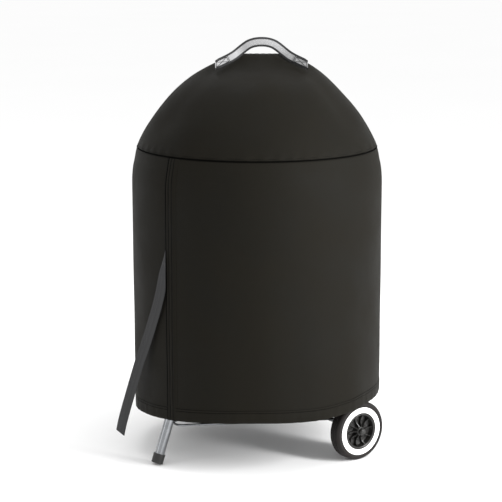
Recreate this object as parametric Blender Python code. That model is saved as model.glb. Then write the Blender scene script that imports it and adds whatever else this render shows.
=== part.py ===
"""Kettle charcoal grill, 57 cm class, standing under its fabric cover.

Metres, +Z up. The origin is on the kettle's upright axis, on the floor. The single leg
points along -X, the wheel axle lies along Y on the +X side. The lid and the cover are
turned by COVER_TURN about the upright axis, because both may be set down at any angle.
"""

import math

import bmesh
import bpy
import numpy as np
from mathutils import Matrix, Vector

# ---- driving dimensions, metres --------------------------------------------------
GAP = 0.0003  # between pieces that touch
FACET_PLAY = 0.0013  # how far a flat facet stands in from the kettle's round surface
ROUND_STEPS = 40  # facets round the kettle
ARC_STEPS = 8  # facets from the kettle's rim to its axis
CLOTH_STEPS = 48  # facets round the cover

# Bowl: a half ellipsoid with a beaded rim
BOWL_RADIUS = 0.275
BOWL_DEPTH = 0.235
BOWL_WALL = 0.0018
RIM_HEIGHT = 0.700
BEAD_REACH = 0.0045
BEAD_UP = 0.0035
BEAD_DOWN = 0.0035
BOWL_VENT_RADIUS = 0.016
BOWL_VENT_CIRCLE = 0.072

# Lid: a dome that stands on the bead with a short skirt outside it
LID_HEIGHT = 0.2155
LID_WALL = 0.0018
LID_SKIRT = 0.013
LID_SKIRT_PLAY = 0.0010
LID_LEDGE = 0.0022
LID_VENT_RADIUS = 0.009
LID_VENT_CIRCLE = 0.021

# Lid damper
DAMPER_RADIUS = 0.040
DAMPER_THICK = 0.0014
DAMPER_LIFT = 0.0030
DAMPER_FROM_AXIS = 0.135
DAMPER_AZIMUTH = math.radians(68)
RIVET_RADIUS = 0.003
RIVET_HEAD = 0.007
RIVET_PLAY = 0.0005

# Lid handle
LID_HANDLE_HALF = 0.060
LID_HANDLE_RISE = 0.0770
LID_HANDLE_BASE = 0.006
LID_HANDLE_RADIUS = 0.009
SHIELD_HALF_LENGTH = 0.082
SHIELD_HALF_WIDTH = 0.021
SHIELD_THICK = 0.0012
BOLT_RADIUS = 0.003
BOLT_HEAD_RADIUS = 0.006
BOLT_HEAD_THICK = 0.003
BOLT_PLAY = 0.0006

# Side handles
SIDE_HANDLE_DROP = 0.048
SIDE_HANDLE_HALF = 0.052
SIDE_HANDLE_REACH = 0.0285
SIDE_HANDLE_RADIUS = 0.0072

# Legs
LEG_RADIUS = 0.0125
LEG_WALL = 0.0012
LEG_TOP_CIRCLE = 0.135
LEG_TOP_HEIGHT = RIM_HEIGHT - 0.200
SINGLE_LEG_FOOT = 0.316
WHEEL_LEG_FOOT = 0.2766
SOCKET_WALL = 0.0022
SOCKET_LENGTH = 0.052
LEG_TOP_SET_BACK = 0.020
LEG_PLAY = 0.0004

# Foot cap
CAP_WALL = 0.0022
CAP_UP = 0.020
CAP_SOLE = 0.0045
CAP_FLAT_DEPTH = 0.0012

# Wheels
WHEEL_RADIUS = 0.0762
TYRE_WIDTH = 0.036
HUB_RADIUS = 0.0455
HUB_WIDTH = 0.038
TYRE_SEAT_PLAY = 0.0004
WHITEWALL_RADIUS = 0.0622
WHITEWALL_INNER = 0.0478
WHITEWALL_THICK = 0.0016
AXLE_RADIUS = 0.0048
AXLE_PLAY = 0.0006
AXLE_CAP_RADIUS = 0.0088
AXLE_CAP_LENGTH = 0.0085
AXLE_OUTSIDE = 0.0045
HUB_TO_LEG_PLAY = 0.0010
BUSH_WALL = 0.0020
BUSH_UP = 0.018
BUSH_SPIGOT = 0.026

# Wire shelf between the legs
SHELF_ABOVE_AXLE = 0.0198
SHELF_HEIGHT = WHEEL_RADIUS + SHELF_ABOVE_AXLE
SHELF_WIRE = 0.003
SHELF_SLATS = 5
SHELF_CORNER = 0.022
SHELF_PLAY = 0.0028

# Ash pan and its holder
PAN_RADIUS = 0.138
PAN_FLOOR_RADIUS = 0.124
PAN_DEPTH = 0.020
PAN_WALL = 0.0014
PAN_BELOW_RIM = 0.348
PAN_HEIGHT = RIM_HEIGHT - PAN_BELOW_RIM
HOLDER_CIRCLE = 0.112
HOLDER_WIRE = 0.003

# Ash sweeper
SWEEPER_REACH = 0.112
SWEEPER_HUB = 0.024
SWEEPER_BLADE_HALF = math.radians(21)
SWEEPER_THICK = 0.0014
SWEEPER_LIFT = 0.0016
SHAFT_RADIUS = 0.0050
SHAFT_PLAY = 0.0010
LEVER_AZIMUTH = math.radians(-120)
LEVER_LENGTH = 0.190
LEVER_HALF_WIDTH = 0.010
LEVER_THICK = 0.003
LEVER_DROP = 0.026
NUT_RADIUS = 0.0095
NUT_THICK = 0.006
SHAFT_ABOVE_BLADES = 0.009

# Grates
COOKING_GRATE_RADIUS = 0.2655
COOKING_GRATE_BELOW_RIM = 0.035
COOKING_GRATE_HEIGHT = RIM_HEIGHT - COOKING_GRATE_BELOW_RIM
COOKING_RIM_WIRE = 0.0030
COOKING_BAR_WIRE = 0.0024
COOKING_BARS = 15
GRATE_LOOP_HALF = 0.045
GRATE_LOOP_RISE = 0.024
CHARCOAL_GRATE_RADIUS = 0.2100
CHARCOAL_GRATE_DEPTH_SHARE = 0.128 / 0.235
CHARCOAL_GRATE_HEIGHT = RIM_HEIGHT - BOWL_DEPTH * CHARCOAL_GRATE_DEPTH_SHARE
CHARCOAL_WIRE = 0.0034
CHARCOAL_BARS = 9
CROSS_BAR_SHARE = 0.55

# Brackets that carry both grates on the bowl's wall
BRACKET_HALF_WIDTH = 0.011
BRACKET_THICK = 0.0018
BRACKET_LEDGE = 0.013
BRACKET_AZIMUTHS = tuple(math.radians(a) for a in (30, 150, 270))

# Cover, in the frame that is turned by COVER_TURN
COVER_TURN = math.radians(-36)
COVER_RADIUS = 0.3205
COVER_THICK = 0.0025
COVER_SEAM_ABOVE_RIM = 0.093
COVER_SEAM_HEIGHT = RIM_HEIGHT + COVER_SEAM_ABOVE_RIM
COVER_SHOULDER_DRAW = 0.0142
COVER_SEAM_RADIUS = COVER_RADIUS - COVER_SHOULDER_DRAW
COVER_SHOULDER = 0.093
COVER_DOME_RISE = 0.240
COVER_DOME_SHARPNESS = 1.2
COVER_RIDGE_SHARE = 0.967
COVER_RIDGE_NARROWS = 0.68
COVER_RIDGE_FROM = 0.80
COVER_RIDGE_SOFTNESS = 0.04
COVER_TOP_LEAN = 0.0114
COVER_RIDGE_SAG = 0.004
HEM_DEPTH = 0.033
# Height of the hem's edge over the wheels' tops every 30 degrees round the cover, anticlockwise from -180.
# The cloth rides up where it passes over the two wheels and hangs lowest over the leg.
HEM_OVER_WHEELS = (
    -0.0414, -0.0284, -0.0124, -0.0024, -0.0064, -0.0004, -0.0044, -0.0164, -0.0104, 0.0056, -0.0104, -0.0304,
)
HEM_HEIGHTS = tuple(2 * WHEEL_RADIUS + over for over in HEM_OVER_WHEELS)
FLAP_AZIMUTH = math.radians(-130.6)
FLAP_WIDTH = 0.032
FLAP_THICK = 0.0018

# Carry handle of webbing on the cover's top
CARRY_HALF = 0.1110
CARRY_WIDTH = 0.024
CARRY_THICK = 0.0030
CARRY_ABOVE_DOME = 0.037
CARRY_APEX = COVER_SEAM_HEIGHT + COVER_DOME_RISE + CARRY_ABOVE_DOME
CARRY_OPEN_HALF = 0.068
CARRY_SLOPE = 0.86
CARRY_ROUND = 0.032
CARRY_BEND = 2.6
CARRY_STAND_OFF = 0.0046 / 0.3205 * COVER_RADIUS

# Loose webbing strap, sewn under the flap
STRAP_WIDTH = 0.032
STRAP_THICK = 0.0020
STRAP_AZIMUTH = math.radians(-133.4)
STRAP_STAND_OFF = 0.0040
# Along the strap: distance to the left in the plane that touches the cover, and height
STRAP_ROUTE = (
    (-0.006, 0.545), (0.000, 0.523), (0.007, 0.499), (0.018, 0.459), (0.031, 0.420),
    (0.047, 0.380), (0.064, 0.341), (0.081, 0.303), (0.098, 0.265), (0.113, 0.228),
    (0.128, 0.192), (0.142, 0.156), (0.156, 0.120), (0.169, 0.087), (0.178, 0.061),
)

# ---- finishes: base colour (linear), roughness, metallic --------------------------
FINISHES = {
    "black_enamel": ((0.010, 0.010, 0.011), 0.18, 0.0),
    "cover_cloth": ((0.017, 0.017, 0.014), 0.62, 0.0),
    "cover_webbing": ((0.050, 0.050, 0.054), 0.75, 0.0),
    "handle_webbing": ((0.420, 0.420, 0.420), 0.60, 0.0),
    "black_nylon": ((0.014, 0.014, 0.014), 0.45, 0.0),
    "leg_aluminium": ((0.780, 0.790, 0.800), 0.22, 1.0),
    "pan_aluminium": ((0.720, 0.730, 0.740), 0.35, 1.0),
    "plated_wire": ((0.620, 0.620, 0.630), 0.28, 1.0),
    "bare_steel": ((0.450, 0.450, 0.460), 0.40, 1.0),
    "tyre_rubber": ((0.012, 0.011, 0.010), 0.70, 0.0),
    "white_trim": ((0.850, 0.850, 0.840), 0.45, 0.0),
    "black_hub": ((0.016, 0.015, 0.015), 0.38, 0.0),
}


# ---- helpers -----------------------------------------------------------------------
def clear_scene():
    for obj in list(bpy.data.objects):
        bpy.data.objects.remove(obj, do_unlink=True)


def finish(name):
    """The Principled material of this finish, made once."""
    if name in bpy.data.materials:
        return bpy.data.materials[name]
    colour, roughness, metallic = FINISHES[name]
    made = bpy.data.materials.new(name)
    made.use_nodes = True
    shader = made.node_tree.nodes["Principled BSDF"]
    shader.inputs["Base Color"].default_value = (*colour, 1.0)
    shader.inputs["Roughness"].default_value = roughness
    shader.inputs["Metallic"].default_value = metallic
    made.diffuse_color = (*colour, 1.0)
    return made


def tidy(bm, name):
    """A mesh from the bmesh, with its doubles merged and its faces pointing out."""
    bmesh.ops.remove_doubles(bm, verts=bm.verts[:], dist=1e-6)
    bmesh.ops.dissolve_degenerate(bm, edges=bm.edges[:], dist=1e-7)
    bmesh.ops.recalc_face_normals(bm, faces=bm.faces[:])
    mesh = bpy.data.meshes.new(name)
    bm.to_mesh(mesh)
    bm.free()
    return mesh


def place(name, mesh, look, parent=None, matrix=None):
    """A named object with its mesh, finish, parent and place, shaded smooth up to 35 degrees."""
    obj = bpy.data.objects.new(name, mesh)
    bpy.context.scene.collection.objects.link(obj)
    obj.data.materials.append(finish(look))
    obj.parent = parent
    if matrix is not None:
        obj.matrix_local = matrix
    mesh.shade_smooth()
    mesh.set_sharp_from_angle(angle=math.radians(35))
    return obj


def empty(name, turn=0.0):
    """An unseen parent on the upright axis, turned about it."""
    obj = bpy.data.objects.new(name, None)
    bpy.context.scene.collection.objects.link(obj)
    obj.rotation_euler = (0.0, 0.0, turn)
    return obj


def helper(name, mesh, parent=None, matrix=None):
    """A cutter or a piece to be joined: it isn't part of the object by itself."""
    obj = bpy.data.objects.new(name, mesh)
    bpy.context.scene.collection.objects.link(obj)
    obj.parent = parent
    if matrix is not None:
        obj.matrix_local = matrix
    obj.hide_render = True
    obj.display_type = "WIRE"
    return obj


def boolean(obj, other, operation):
    made = obj.modifiers.new(operation.lower(), "BOOLEAN")
    made.operation = operation
    made.object = other
    made.solver = "EXACT"


def turned(name, profile, steps=ROUND_STEPS):
    """A closed outline of (radius, height) spun about Z."""
    bm = bmesh.new()
    ring = [bm.verts.new((radius, 0.0, height)) for radius, height in profile]
    edges = [bm.edges.new((ring[i - 1], ring[i])) for i in range(len(ring))]
    bmesh.ops.spin(bm, geom=ring + edges, axis=(0, 0, 1), cent=(0, 0, 0), angle=2 * math.pi, steps=steps)
    return tidy(bm, name)


def cylinder(name, radius, low, high, sides=20):
    """An upright cylinder between two heights."""
    bm = bmesh.new()
    middle = Matrix.Translation((0, 0, (low + high) / 2))
    bmesh.ops.create_cone(
        bm, cap_ends=True, segments=sides, radius1=radius, radius2=radius, depth=high - low, matrix=middle
    )
    return tidy(bm, name)


def box(name, low, high):
    bm = bmesh.new()
    size = Vector(high) - Vector(low)
    middle = (Vector(high) + Vector(low)) / 2
    bmesh.ops.create_cube(bm, size=1.0, matrix=Matrix.Translation(middle) @ Matrix.Diagonal((*size, 1.0)))
    return tidy(bm, name)


def plate(name, outline, low, high):
    """A flat outline of (x, y) points raised from one height to another."""
    bm = bmesh.new()
    face = bm.faces.new([bm.verts.new((x, y, low)) for x, y in outline])
    raised = bmesh.ops.extrude_face_region(bm, geom=[face])
    up = [v for v in raised["geom"] if isinstance(v, bmesh.types.BMVert)]
    bmesh.ops.translate(bm, verts=up, vec=(0, 0, high - low))
    return tidy(bm, name)


def wire(name, routes, radius, cyclic=False, bevel=1):
    """Round wires along the given routes, as one mesh of separate tubes with closed ends."""
    curve = bpy.data.curves.new(name, "CURVE")
    curve.dimensions = "3D"
    curve.bevel_depth = radius
    curve.bevel_resolution = bevel
    curve.use_fill_caps = True
    for route in routes:
        spline = curve.splines.new("POLY")
        spline.points.add(len(route) - 1)
        for point, place_of_it in zip(spline.points, route):
            point.co = (*place_of_it, 1.0)
        spline.use_cyclic_u = cyclic
    obj = bpy.data.objects.new(name, curve)
    bpy.context.scene.collection.objects.link(obj)
    graph = bpy.context.evaluated_depsgraph_get()
    made = bpy.data.meshes.new_from_object(obj.evaluated_get(graph))
    bpy.data.objects.remove(obj, do_unlink=True)
    bm = bmesh.new()
    bm.from_mesh(made)
    bpy.data.meshes.remove(made)
    return tidy(bm, name)


def shell(name, rings, thick, pole=False, level_first=True, level_last=True):
    """A wall from a grid of points: rings[i][j] is point j round ring i, inner side by the normals.

    The normals of the first and last ring are laid level where asked, so that two shells
    that meet there keep an even gap. With pole, the last ring is closed by a middle point.
    """
    rings = np.asarray(rings, float)
    along = np.gradient(rings, axis=0)
    around = np.roll(rings, -1, axis=1) - np.roll(rings, 1, axis=1)
    normals = np.cross(around, along)
    if level_first:
        normals[0, :, 2] = 0.0
    if level_last and not pole:
        normals[-1, :, 2] = 0.0
    normals /= np.linalg.norm(normals, axis=2, keepdims=True)
    inner = rings - normals * thick
    bm = bmesh.new()
    outside = [[bm.verts.new(p) for p in ring] for ring in rings]
    inside = [[bm.verts.new(p) for p in ring] for ring in inner]
    count = rings.shape[1]
    for wall, turn in ((outside, False), (inside, True)):
        for low, high in zip(wall, wall[1:]):
            for j in range(count):
                k = (j + 1) % count
                corners = (low[j], low[k], high[k], high[j])
                bm.faces.new(corners[::-1] if turn else corners)
        if pole:
            middle = sum((v.co for v in wall[-1]), Vector()) / count
            tip = bm.verts.new(middle)
            for j in range(count):
                k = (j + 1) % count
                corners = (wall[-1][j], wall[-1][k], tip)
                bm.faces.new(corners[::-1] if turn else corners)
    ends = [(inside[0], outside[0])]
    if not pole:
        ends.append((outside[-1], inside[-1]))
    for first, second in ends:
        for j in range(count):
            k = (j + 1) % count
            bm.faces.new((first[j], first[k], second[k], second[j]))
    return tidy(bm, name)


def slab(name, top, thick_vectors):
    """A closed sheet from a grid of points and the vectors from its face to its back."""
    top = np.asarray(top, float)
    back = top + np.asarray(thick_vectors, float)
    rows, columns = top.shape[:2]
    bm = bmesh.new()
    face = [[bm.verts.new(p) for p in row] for row in top]
    under = [[bm.verts.new(p) for p in row] for row in back]
    for i in range(rows - 1):
        for j in range(columns - 1):
            bm.faces.new((face[i][j], face[i][j + 1], face[i + 1][j + 1], face[i + 1][j]))
            bm.faces.new((under[i][j], under[i + 1][j], under[i + 1][j + 1], under[i][j + 1]))
    border = [(0, j) for j in range(columns)] + [(i, columns - 1) for i in range(1, rows)]
    border += [(rows - 1, j) for j in range(columns - 2, -1, -1)] + [(i, 0) for i in range(rows - 2, 0, -1)]
    for (i, j), (k, m) in zip(border, border[1:] + border[:1]):
        bm.faces.new((face[i][j], under[i][j], under[k][m], face[k][m]))
    return tidy(bm, name)


def pointing(start, end):
    """The place of a piece whose own +Z runs from start towards end."""
    direction = (Vector(end) - Vector(start)).normalized()
    return Matrix.Translation(start) @ direction.to_track_quat("Z", "Y").to_matrix().to_4x4()


def polar(radius, azimuth, height=0.0):
    return Vector((radius * math.cos(azimuth), radius * math.sin(azimuth), height))


def around_z(azimuth):
    return Matrix.Rotation(azimuth, 4, "Z")


# ---- shared surfaces ---------------------------------------------------------------
def bowl_height(radius, offset=0.0):
    """Height of the bowl's outer face at this radius, moved out by offset (inward if negative)."""
    share = min(1.0, radius / (BOWL_RADIUS + offset))
    return RIM_HEIGHT - (BOWL_DEPTH + offset) * math.sqrt(1 - share * share)


def bowl_radius(height, offset=0.0):
    """Radius of the bowl's outer face at this height."""
    share = (RIM_HEIGHT - height) / (BOWL_DEPTH + offset)
    return (BOWL_RADIUS + offset) * math.sqrt(1 - share * share)


LID_OUTER = BOWL_RADIUS + BEAD_REACH + LID_SKIRT_PLAY + LID_WALL
LID_FOOT = RIM_HEIGHT + BEAD_UP + GAP
LID_DOME_RADIUS = BOWL_RADIUS + BEAD_REACH - LID_LEDGE + LID_WALL


def lid_height(radius, offset=0.0):
    """Height of the lid's outer face at this radius, moved out by offset."""
    share = min(1.0, radius / (LID_DOME_RADIUS + offset))
    return LID_FOOT + (LID_WALL + LID_HEIGHT + offset) * math.sqrt(1 - share * share)


def lid_normal(radius):
    """Radial and upward parts of the lid's outward direction at this radius."""
    a, b = LID_DOME_RADIUS, LID_WALL + LID_HEIGHT
    height = lid_height(radius) - LID_FOOT
    radial, up = radius / a**2, height / b**2
    size = math.hypot(radial, up)
    return radial / size, up / size


def arc_profile(radius, depth, base, sign, least, steps=ARC_STEPS):
    """Points of a quarter ellipse from its widest point in to the radius least."""
    last = math.acos(least / radius)
    turns = [last * i / steps for i in range(steps + 1)]
    return [(radius * math.cos(t), base + sign * depth * math.sin(t)) for t in turns]


def leg_line(azimuth, foot):
    """The two ends of a leg's middle line: in its socket, and where it would meet the floor."""
    return polar(LEG_TOP_CIRCLE, azimuth, LEG_TOP_HEIGHT), polar(foot, azimuth, 0.0)


def leg_point(azimuth, foot, height):
    top, floor = leg_line(azimuth, foot)
    return top.lerp(floor, (LEG_TOP_HEIGHT - height) / LEG_TOP_HEIGHT)


LEGS = {
    "single_leg": (math.pi, SINGLE_LEG_FOOT),
    "wheel_leg_right": (math.radians(-60), WHEEL_LEG_FOOT),
    "wheel_leg_left": (math.radians(60), WHEEL_LEG_FOOT),
}


# ---- kettle bowl and what is fixed to it --------------------------------------------
def make_bowl():
    hole = SHAFT_RADIUS + SHAFT_PLAY
    outer = arc_profile(BOWL_RADIUS, BOWL_DEPTH, RIM_HEIGHT, -1, hole)
    inner = arc_profile(BOWL_RADIUS - BOWL_WALL, BOWL_DEPTH - BOWL_WALL, RIM_HEIGHT, -1, hole)
    bead_out = BOWL_RADIUS + BEAD_REACH
    bead = [
        (BOWL_RADIUS + BEAD_REACH * 0.5, RIM_HEIGHT - BEAD_DOWN),
        (bead_out, RIM_HEIGHT - BEAD_DOWN * 0.5),
        (bead_out, RIM_HEIGHT + BEAD_UP * 0.5),
        (bead_out - BEAD_REACH * 0.25, RIM_HEIGHT + BEAD_UP),
        (BOWL_RADIUS - BOWL_WALL, RIM_HEIGHT + BEAD_UP),
    ]
    below_bead = [(BOWL_RADIUS - 0.0001, RIM_HEIGHT - BEAD_DOWN * 1.2)]
    profile = outer[:0:-1] + below_bead + bead + inner
    bowl = place("bowl", turned("bowl", profile), "black_enamel")
    low, high = bowl_height(0) - 0.01, bowl_height(BOWL_VENT_CIRCLE) + 0.03
    for k in range(3):
        azimuth = LEVER_AZIMUTH + math.radians(45 + 120 * k)
        vent = cylinder(f"bowl_vent_{k}", BOWL_VENT_RADIUS, low, high)
        spot = Matrix.Translation(polar(BOWL_VENT_CIRCLE, azimuth))
        boolean(bowl, helper(f"bowl_vent_cutter_{k}", vent, matrix=spot), "DIFFERENCE")
    height = RIM_HEIGHT - SIDE_HANDLE_DROP
    for side, sign in (("wheel_side", 1), ("leg_side", -1)):
        for end, across in (("a", -SIDE_HANDLE_HALF), ("b", SIDE_HANDLE_HALF)):
            start = (sign * (bowl_radius(height) - 0.04), across, height)
            bore = cylinder(f"bolt_bore_{side}_{end}", BOLT_RADIUS + BOLT_PLAY, 0, 0.06, 12)
            matrix = pointing(start, (sign, across, height))
            boolean(bowl, helper(f"bolt_bore_cutter_{side}_{end}", bore, matrix=matrix), "DIFFERENCE")
    return bowl


def bowl_solid(name, offset):
    """The bowl's outer shape, filled, grown by offset: it trims what is fixed against it."""
    profile = arc_profile(BOWL_RADIUS + offset, BOWL_DEPTH + offset, RIM_HEIGHT, -1, 0.0)
    return turned(name, [(0.0, RIM_HEIGHT)] + profile)


def make_side_handles():
    """Loop handles of nylon on two sides, each on two bolts whose heads are inside the bowl."""
    trim = helper("side_handle_trim", bowl_solid("side_handle_trim", GAP))
    height = RIM_HEIGHT - SIDE_HANDLE_DROP
    wall = bowl_radius(height)
    steepness = (wall - bowl_radius(height - BOLT_HEAD_RADIUS)) / BOLT_HEAD_RADIUS
    for side, sign in (("wheel_side", 1), ("leg_side", -1)):
        route = []
        for i in range(17):
            turn = math.pi * i / 16
            across = -SIDE_HANDLE_HALF * math.copysign(abs(math.cos(turn)) ** 0.35, math.cos(turn))
            out = SIDE_HANDLE_REACH * math.sin(turn) ** 0.45
            route.append((sign * (wall - 0.002 + out), across, height))
        start = (sign * (wall - 0.014), -SIDE_HANDLE_HALF, height)
        end = (sign * (wall - 0.014), SIDE_HANDLE_HALF, height)
        mesh = wire(f"side_handle_{side}", [[start, *route, end]], SIDE_HANDLE_RADIUS, bevel=2)
        handle = place(f"side_handle_{side}", mesh, "black_nylon")
        boolean(handle, trim, "DIFFERENCE")
        for end_name, across in (("a", -SIDE_HANDLE_HALF), ("b", SIDE_HANDLE_HALF)):
            inner_wall = math.sqrt(bowl_radius(height, -BOWL_WALL) ** 2 - across**2)
            slope = math.hypot(across / wall, steepness)
            head = inner_wall - slope * BOLT_HEAD_RADIUS - FACET_PLAY - GAP - BOLT_HEAD_THICK
            tip = math.sqrt(wall**2 - across**2) - slope * BOLT_RADIUS - FACET_PLAY - GAP
            profile = [
                (0, 0), (BOLT_HEAD_RADIUS, 0), (BOLT_HEAD_RADIUS, BOLT_HEAD_THICK),
                (BOLT_RADIUS, BOLT_HEAD_THICK), (BOLT_RADIUS, tip - head), (0, tip - head),
            ]
            name = f"side_handle_bolt_{side}_{end_name}"
            matrix = pointing((sign * head, across, height), (sign, across, height))
            place(name, turned(name, profile, 12), "bare_steel", matrix=matrix)


def make_grate_brackets():
    """Three bent strips on the bowl's wall: a ledge at the top for one grate, one below for the other."""
    low = CHARCOAL_GRATE_HEIGHT - CHARCOAL_WIRE * 3 - GAP
    high = COOKING_GRATE_HEIGHT - COOKING_RIM_WIRE - COOKING_BAR_WIRE * 2 - GAP
    steps = 6
    thick = BOWL_WALL * 2 + BRACKET_THICK
    room = helper("bracket_room", bowl_solid("bracket_room", -BOWL_WALL - GAP))
    for n, azimuth in enumerate(BRACKET_AZIMUTHS):
        rows, backs = [], []
        for i in range(steps + 1):
            height = low + (high - low) * i / steps
            radius = bowl_radius(height)
            row, back = [], []
            for across in (-1, -1 / 3, 1 / 3, 1):
                turn = across * BRACKET_HALF_WIDTH / radius
                row.append((radius * math.cos(turn), radius * math.sin(turn), height))
                back.append((-thick * math.cos(turn), -thick * math.sin(turn), 0.0))
            rows.append(row)
            backs.append(back)
        strip = slab(f"grate_bracket_{n + 1}", rows, backs)
        bracket = place(f"grate_bracket_{n + 1}", strip, "bare_steel", matrix=around_z(azimuth))
        for level, height, reach in (("top", high, BRACKET_LEDGE), ("low", low, BRACKET_LEDGE)):
            wall = bowl_radius(height, -BOWL_WALL)
            half = BRACKET_HALF_WIDTH * 0.8
            bottom = height - BRACKET_THICK if level == "top" else height
            shelf = box("ledge", (wall - reach, -half, bottom), (wall, half, bottom + BRACKET_THICK))
            joined = helper(f"ledge_{n + 1}_{level}", shelf, matrix=around_z(azimuth))
            boolean(bracket, joined, "UNION")
        boolean(bracket, room, "INTERSECT")


# ---- legs, sockets, foot, axle -------------------------------------------------------
def make_legs():
    trim = helper("socket_trim", bowl_solid("socket_trim", GAP))
    socket_in = LEG_RADIUS + LEG_PLAY
    socket_out = socket_in + SOCKET_WALL
    for name, (azimuth, foot) in LEGS.items():
        top, floor = leg_line(azimuth, foot)
        matrix = pointing(top, floor)
        length = (floor - top).length
        end = length - CAP_REST_ABOVE_FLOOR - CAP_SOLE - GAP
        if name != "single_leg":
            end = (leg_point(azimuth, foot, WHEEL_RADIUS) - top).length - BUSH_UP - GAP
        inside = LEG_RADIUS - LEG_WALL
        tube = [(inside, LEG_TOP_SET_BACK), (inside, end), (LEG_RADIUS, end), (LEG_RADIUS, LEG_TOP_SET_BACK)]
        place(name, turned(name, tube, 20), "leg_aluminium", matrix=matrix)
        stub = [(socket_in, -0.02), (socket_in, SOCKET_LENGTH), (socket_out, SOCKET_LENGTH), (socket_out, -0.02)]
        socket = place(f"{name}_socket", turned(f"{name}_socket", stub, 20), "black_enamel", matrix=matrix)
        boolean(socket, trim, "DIFFERENCE")


SINGLE_LEG_LEAN = math.atan2(SINGLE_LEG_FOOT - LEG_TOP_CIRCLE, LEG_TOP_HEIGHT)
CAP_RADIUS = LEG_RADIUS + LEG_PLAY + CAP_WALL
# Along the leg, from the cap's sole up to where the leg's middle line meets the floor
CAP_REST_ABOVE_FLOOR = (CAP_RADIUS * math.sin(SINGLE_LEG_LEAN) - CAP_FLAT_DEPTH) / math.cos(SINGLE_LEG_LEAN)


def make_foot_cap():
    """A cup over the leg's end, with a small level flat where it stands."""
    azimuth, foot = LEGS["single_leg"]
    top, floor = leg_line(azimuth, foot)
    sole = (floor - top).length - CAP_REST_ABOVE_FLOOR
    inside = LEG_RADIUS + LEG_PLAY
    profile = [
        (0, sole - CAP_SOLE), (inside, sole - CAP_SOLE), (inside, sole - CAP_SOLE - CAP_UP),
        (CAP_RADIUS, sole - CAP_SOLE - CAP_UP), (CAP_RADIUS, sole), (0, sole),
    ]
    cap = place("foot_cap", turned("foot_cap", profile, 24), "black_nylon", matrix=pointing(top, floor))
    ground = box("ground", (-foot - 0.1, -0.1, -0.05), (-foot + 0.1, 0.1, 0.0))
    boolean(cap, helper("ground_cutter", ground), "DIFFERENCE")


def wheel_side_sizes():
    """Across the object: where the wheel legs end, and where the wheels' middles are."""
    azimuth, foot = LEGS["wheel_leg_left"]
    at_axle = leg_point(azimuth, foot, WHEEL_RADIUS)
    lean = math.atan2(foot - LEG_TOP_CIRCLE, LEG_TOP_HEIGHT)
    bush = LEG_RADIUS + BUSH_WALL
    reach = bush + max(BUSH_UP, bush) * math.sin(lean) * math.sin(azimuth)
    middle = at_axle.y + reach + HUB_TO_LEG_PLAY + HUB_WIDTH / 2
    return at_axle, middle


def make_axle_parts():
    at_axle, middle = wheel_side_sizes()
    half = middle + HUB_WIDTH / 2 + AXLE_OUTSIDE
    across = Matrix.Rotation(math.radians(90), 4, "X")
    spot = Matrix.Translation((at_axle.x, 0, WHEEL_RADIUS)) @ across
    place("axle", cylinder("axle", AXLE_RADIUS, -half, half, 16), "plated_wire", matrix=spot)
    bore = helper("axle_bore", cylinder("axle_bore", AXLE_RADIUS + GAP, -half, half, 16), matrix=spot)
    collar = LEG_RADIUS + BUSH_WALL
    spigot = LEG_RADIUS - LEG_WALL - LEG_PLAY
    for side in ("right", "left"):
        azimuth, foot = LEGS[f"wheel_leg_{side}"]
        here = leg_point(azimuth, foot, WHEEL_RADIUS)
        top, floor = leg_line(azimuth, foot)
        profile = [
            (0, -BUSH_UP - BUSH_SPIGOT), (spigot, -BUSH_UP - BUSH_SPIGOT), (spigot, -BUSH_UP),
            (collar, -BUSH_UP), (collar, collar), (0, collar),
        ]
        name = f"axle_bush_{side}"
        bush = place(name, turned(name, profile, 20), "black_nylon", matrix=pointing(here, floor))
        boolean(bush, bore, "DIFFERENCE")
        outward = -1 if side == "right" else 1
        face = middle + HUB_WIDTH / 2 + 0.0008
        inner = AXLE_RADIUS + GAP
        depth = half - face + GAP
        cap = [
            (inner, 0), (AXLE_CAP_RADIUS, 0), (AXLE_CAP_RADIUS, AXLE_CAP_LENGTH * 0.6),
            (AXLE_CAP_RADIUS * 0.6, AXLE_CAP_LENGTH), (0, AXLE_CAP_LENGTH), (0, depth), (inner, depth),
        ]
        name = f"axle_cap_{side}"
        turn = Matrix.Rotation(math.radians(-90 * outward), 4, "X")
        matrix = Matrix.Translation((at_axle.x, outward * face, WHEEL_RADIUS)) @ turn
        place(name, turned(name, cap, 12), "black_hub", matrix=matrix)


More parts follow.
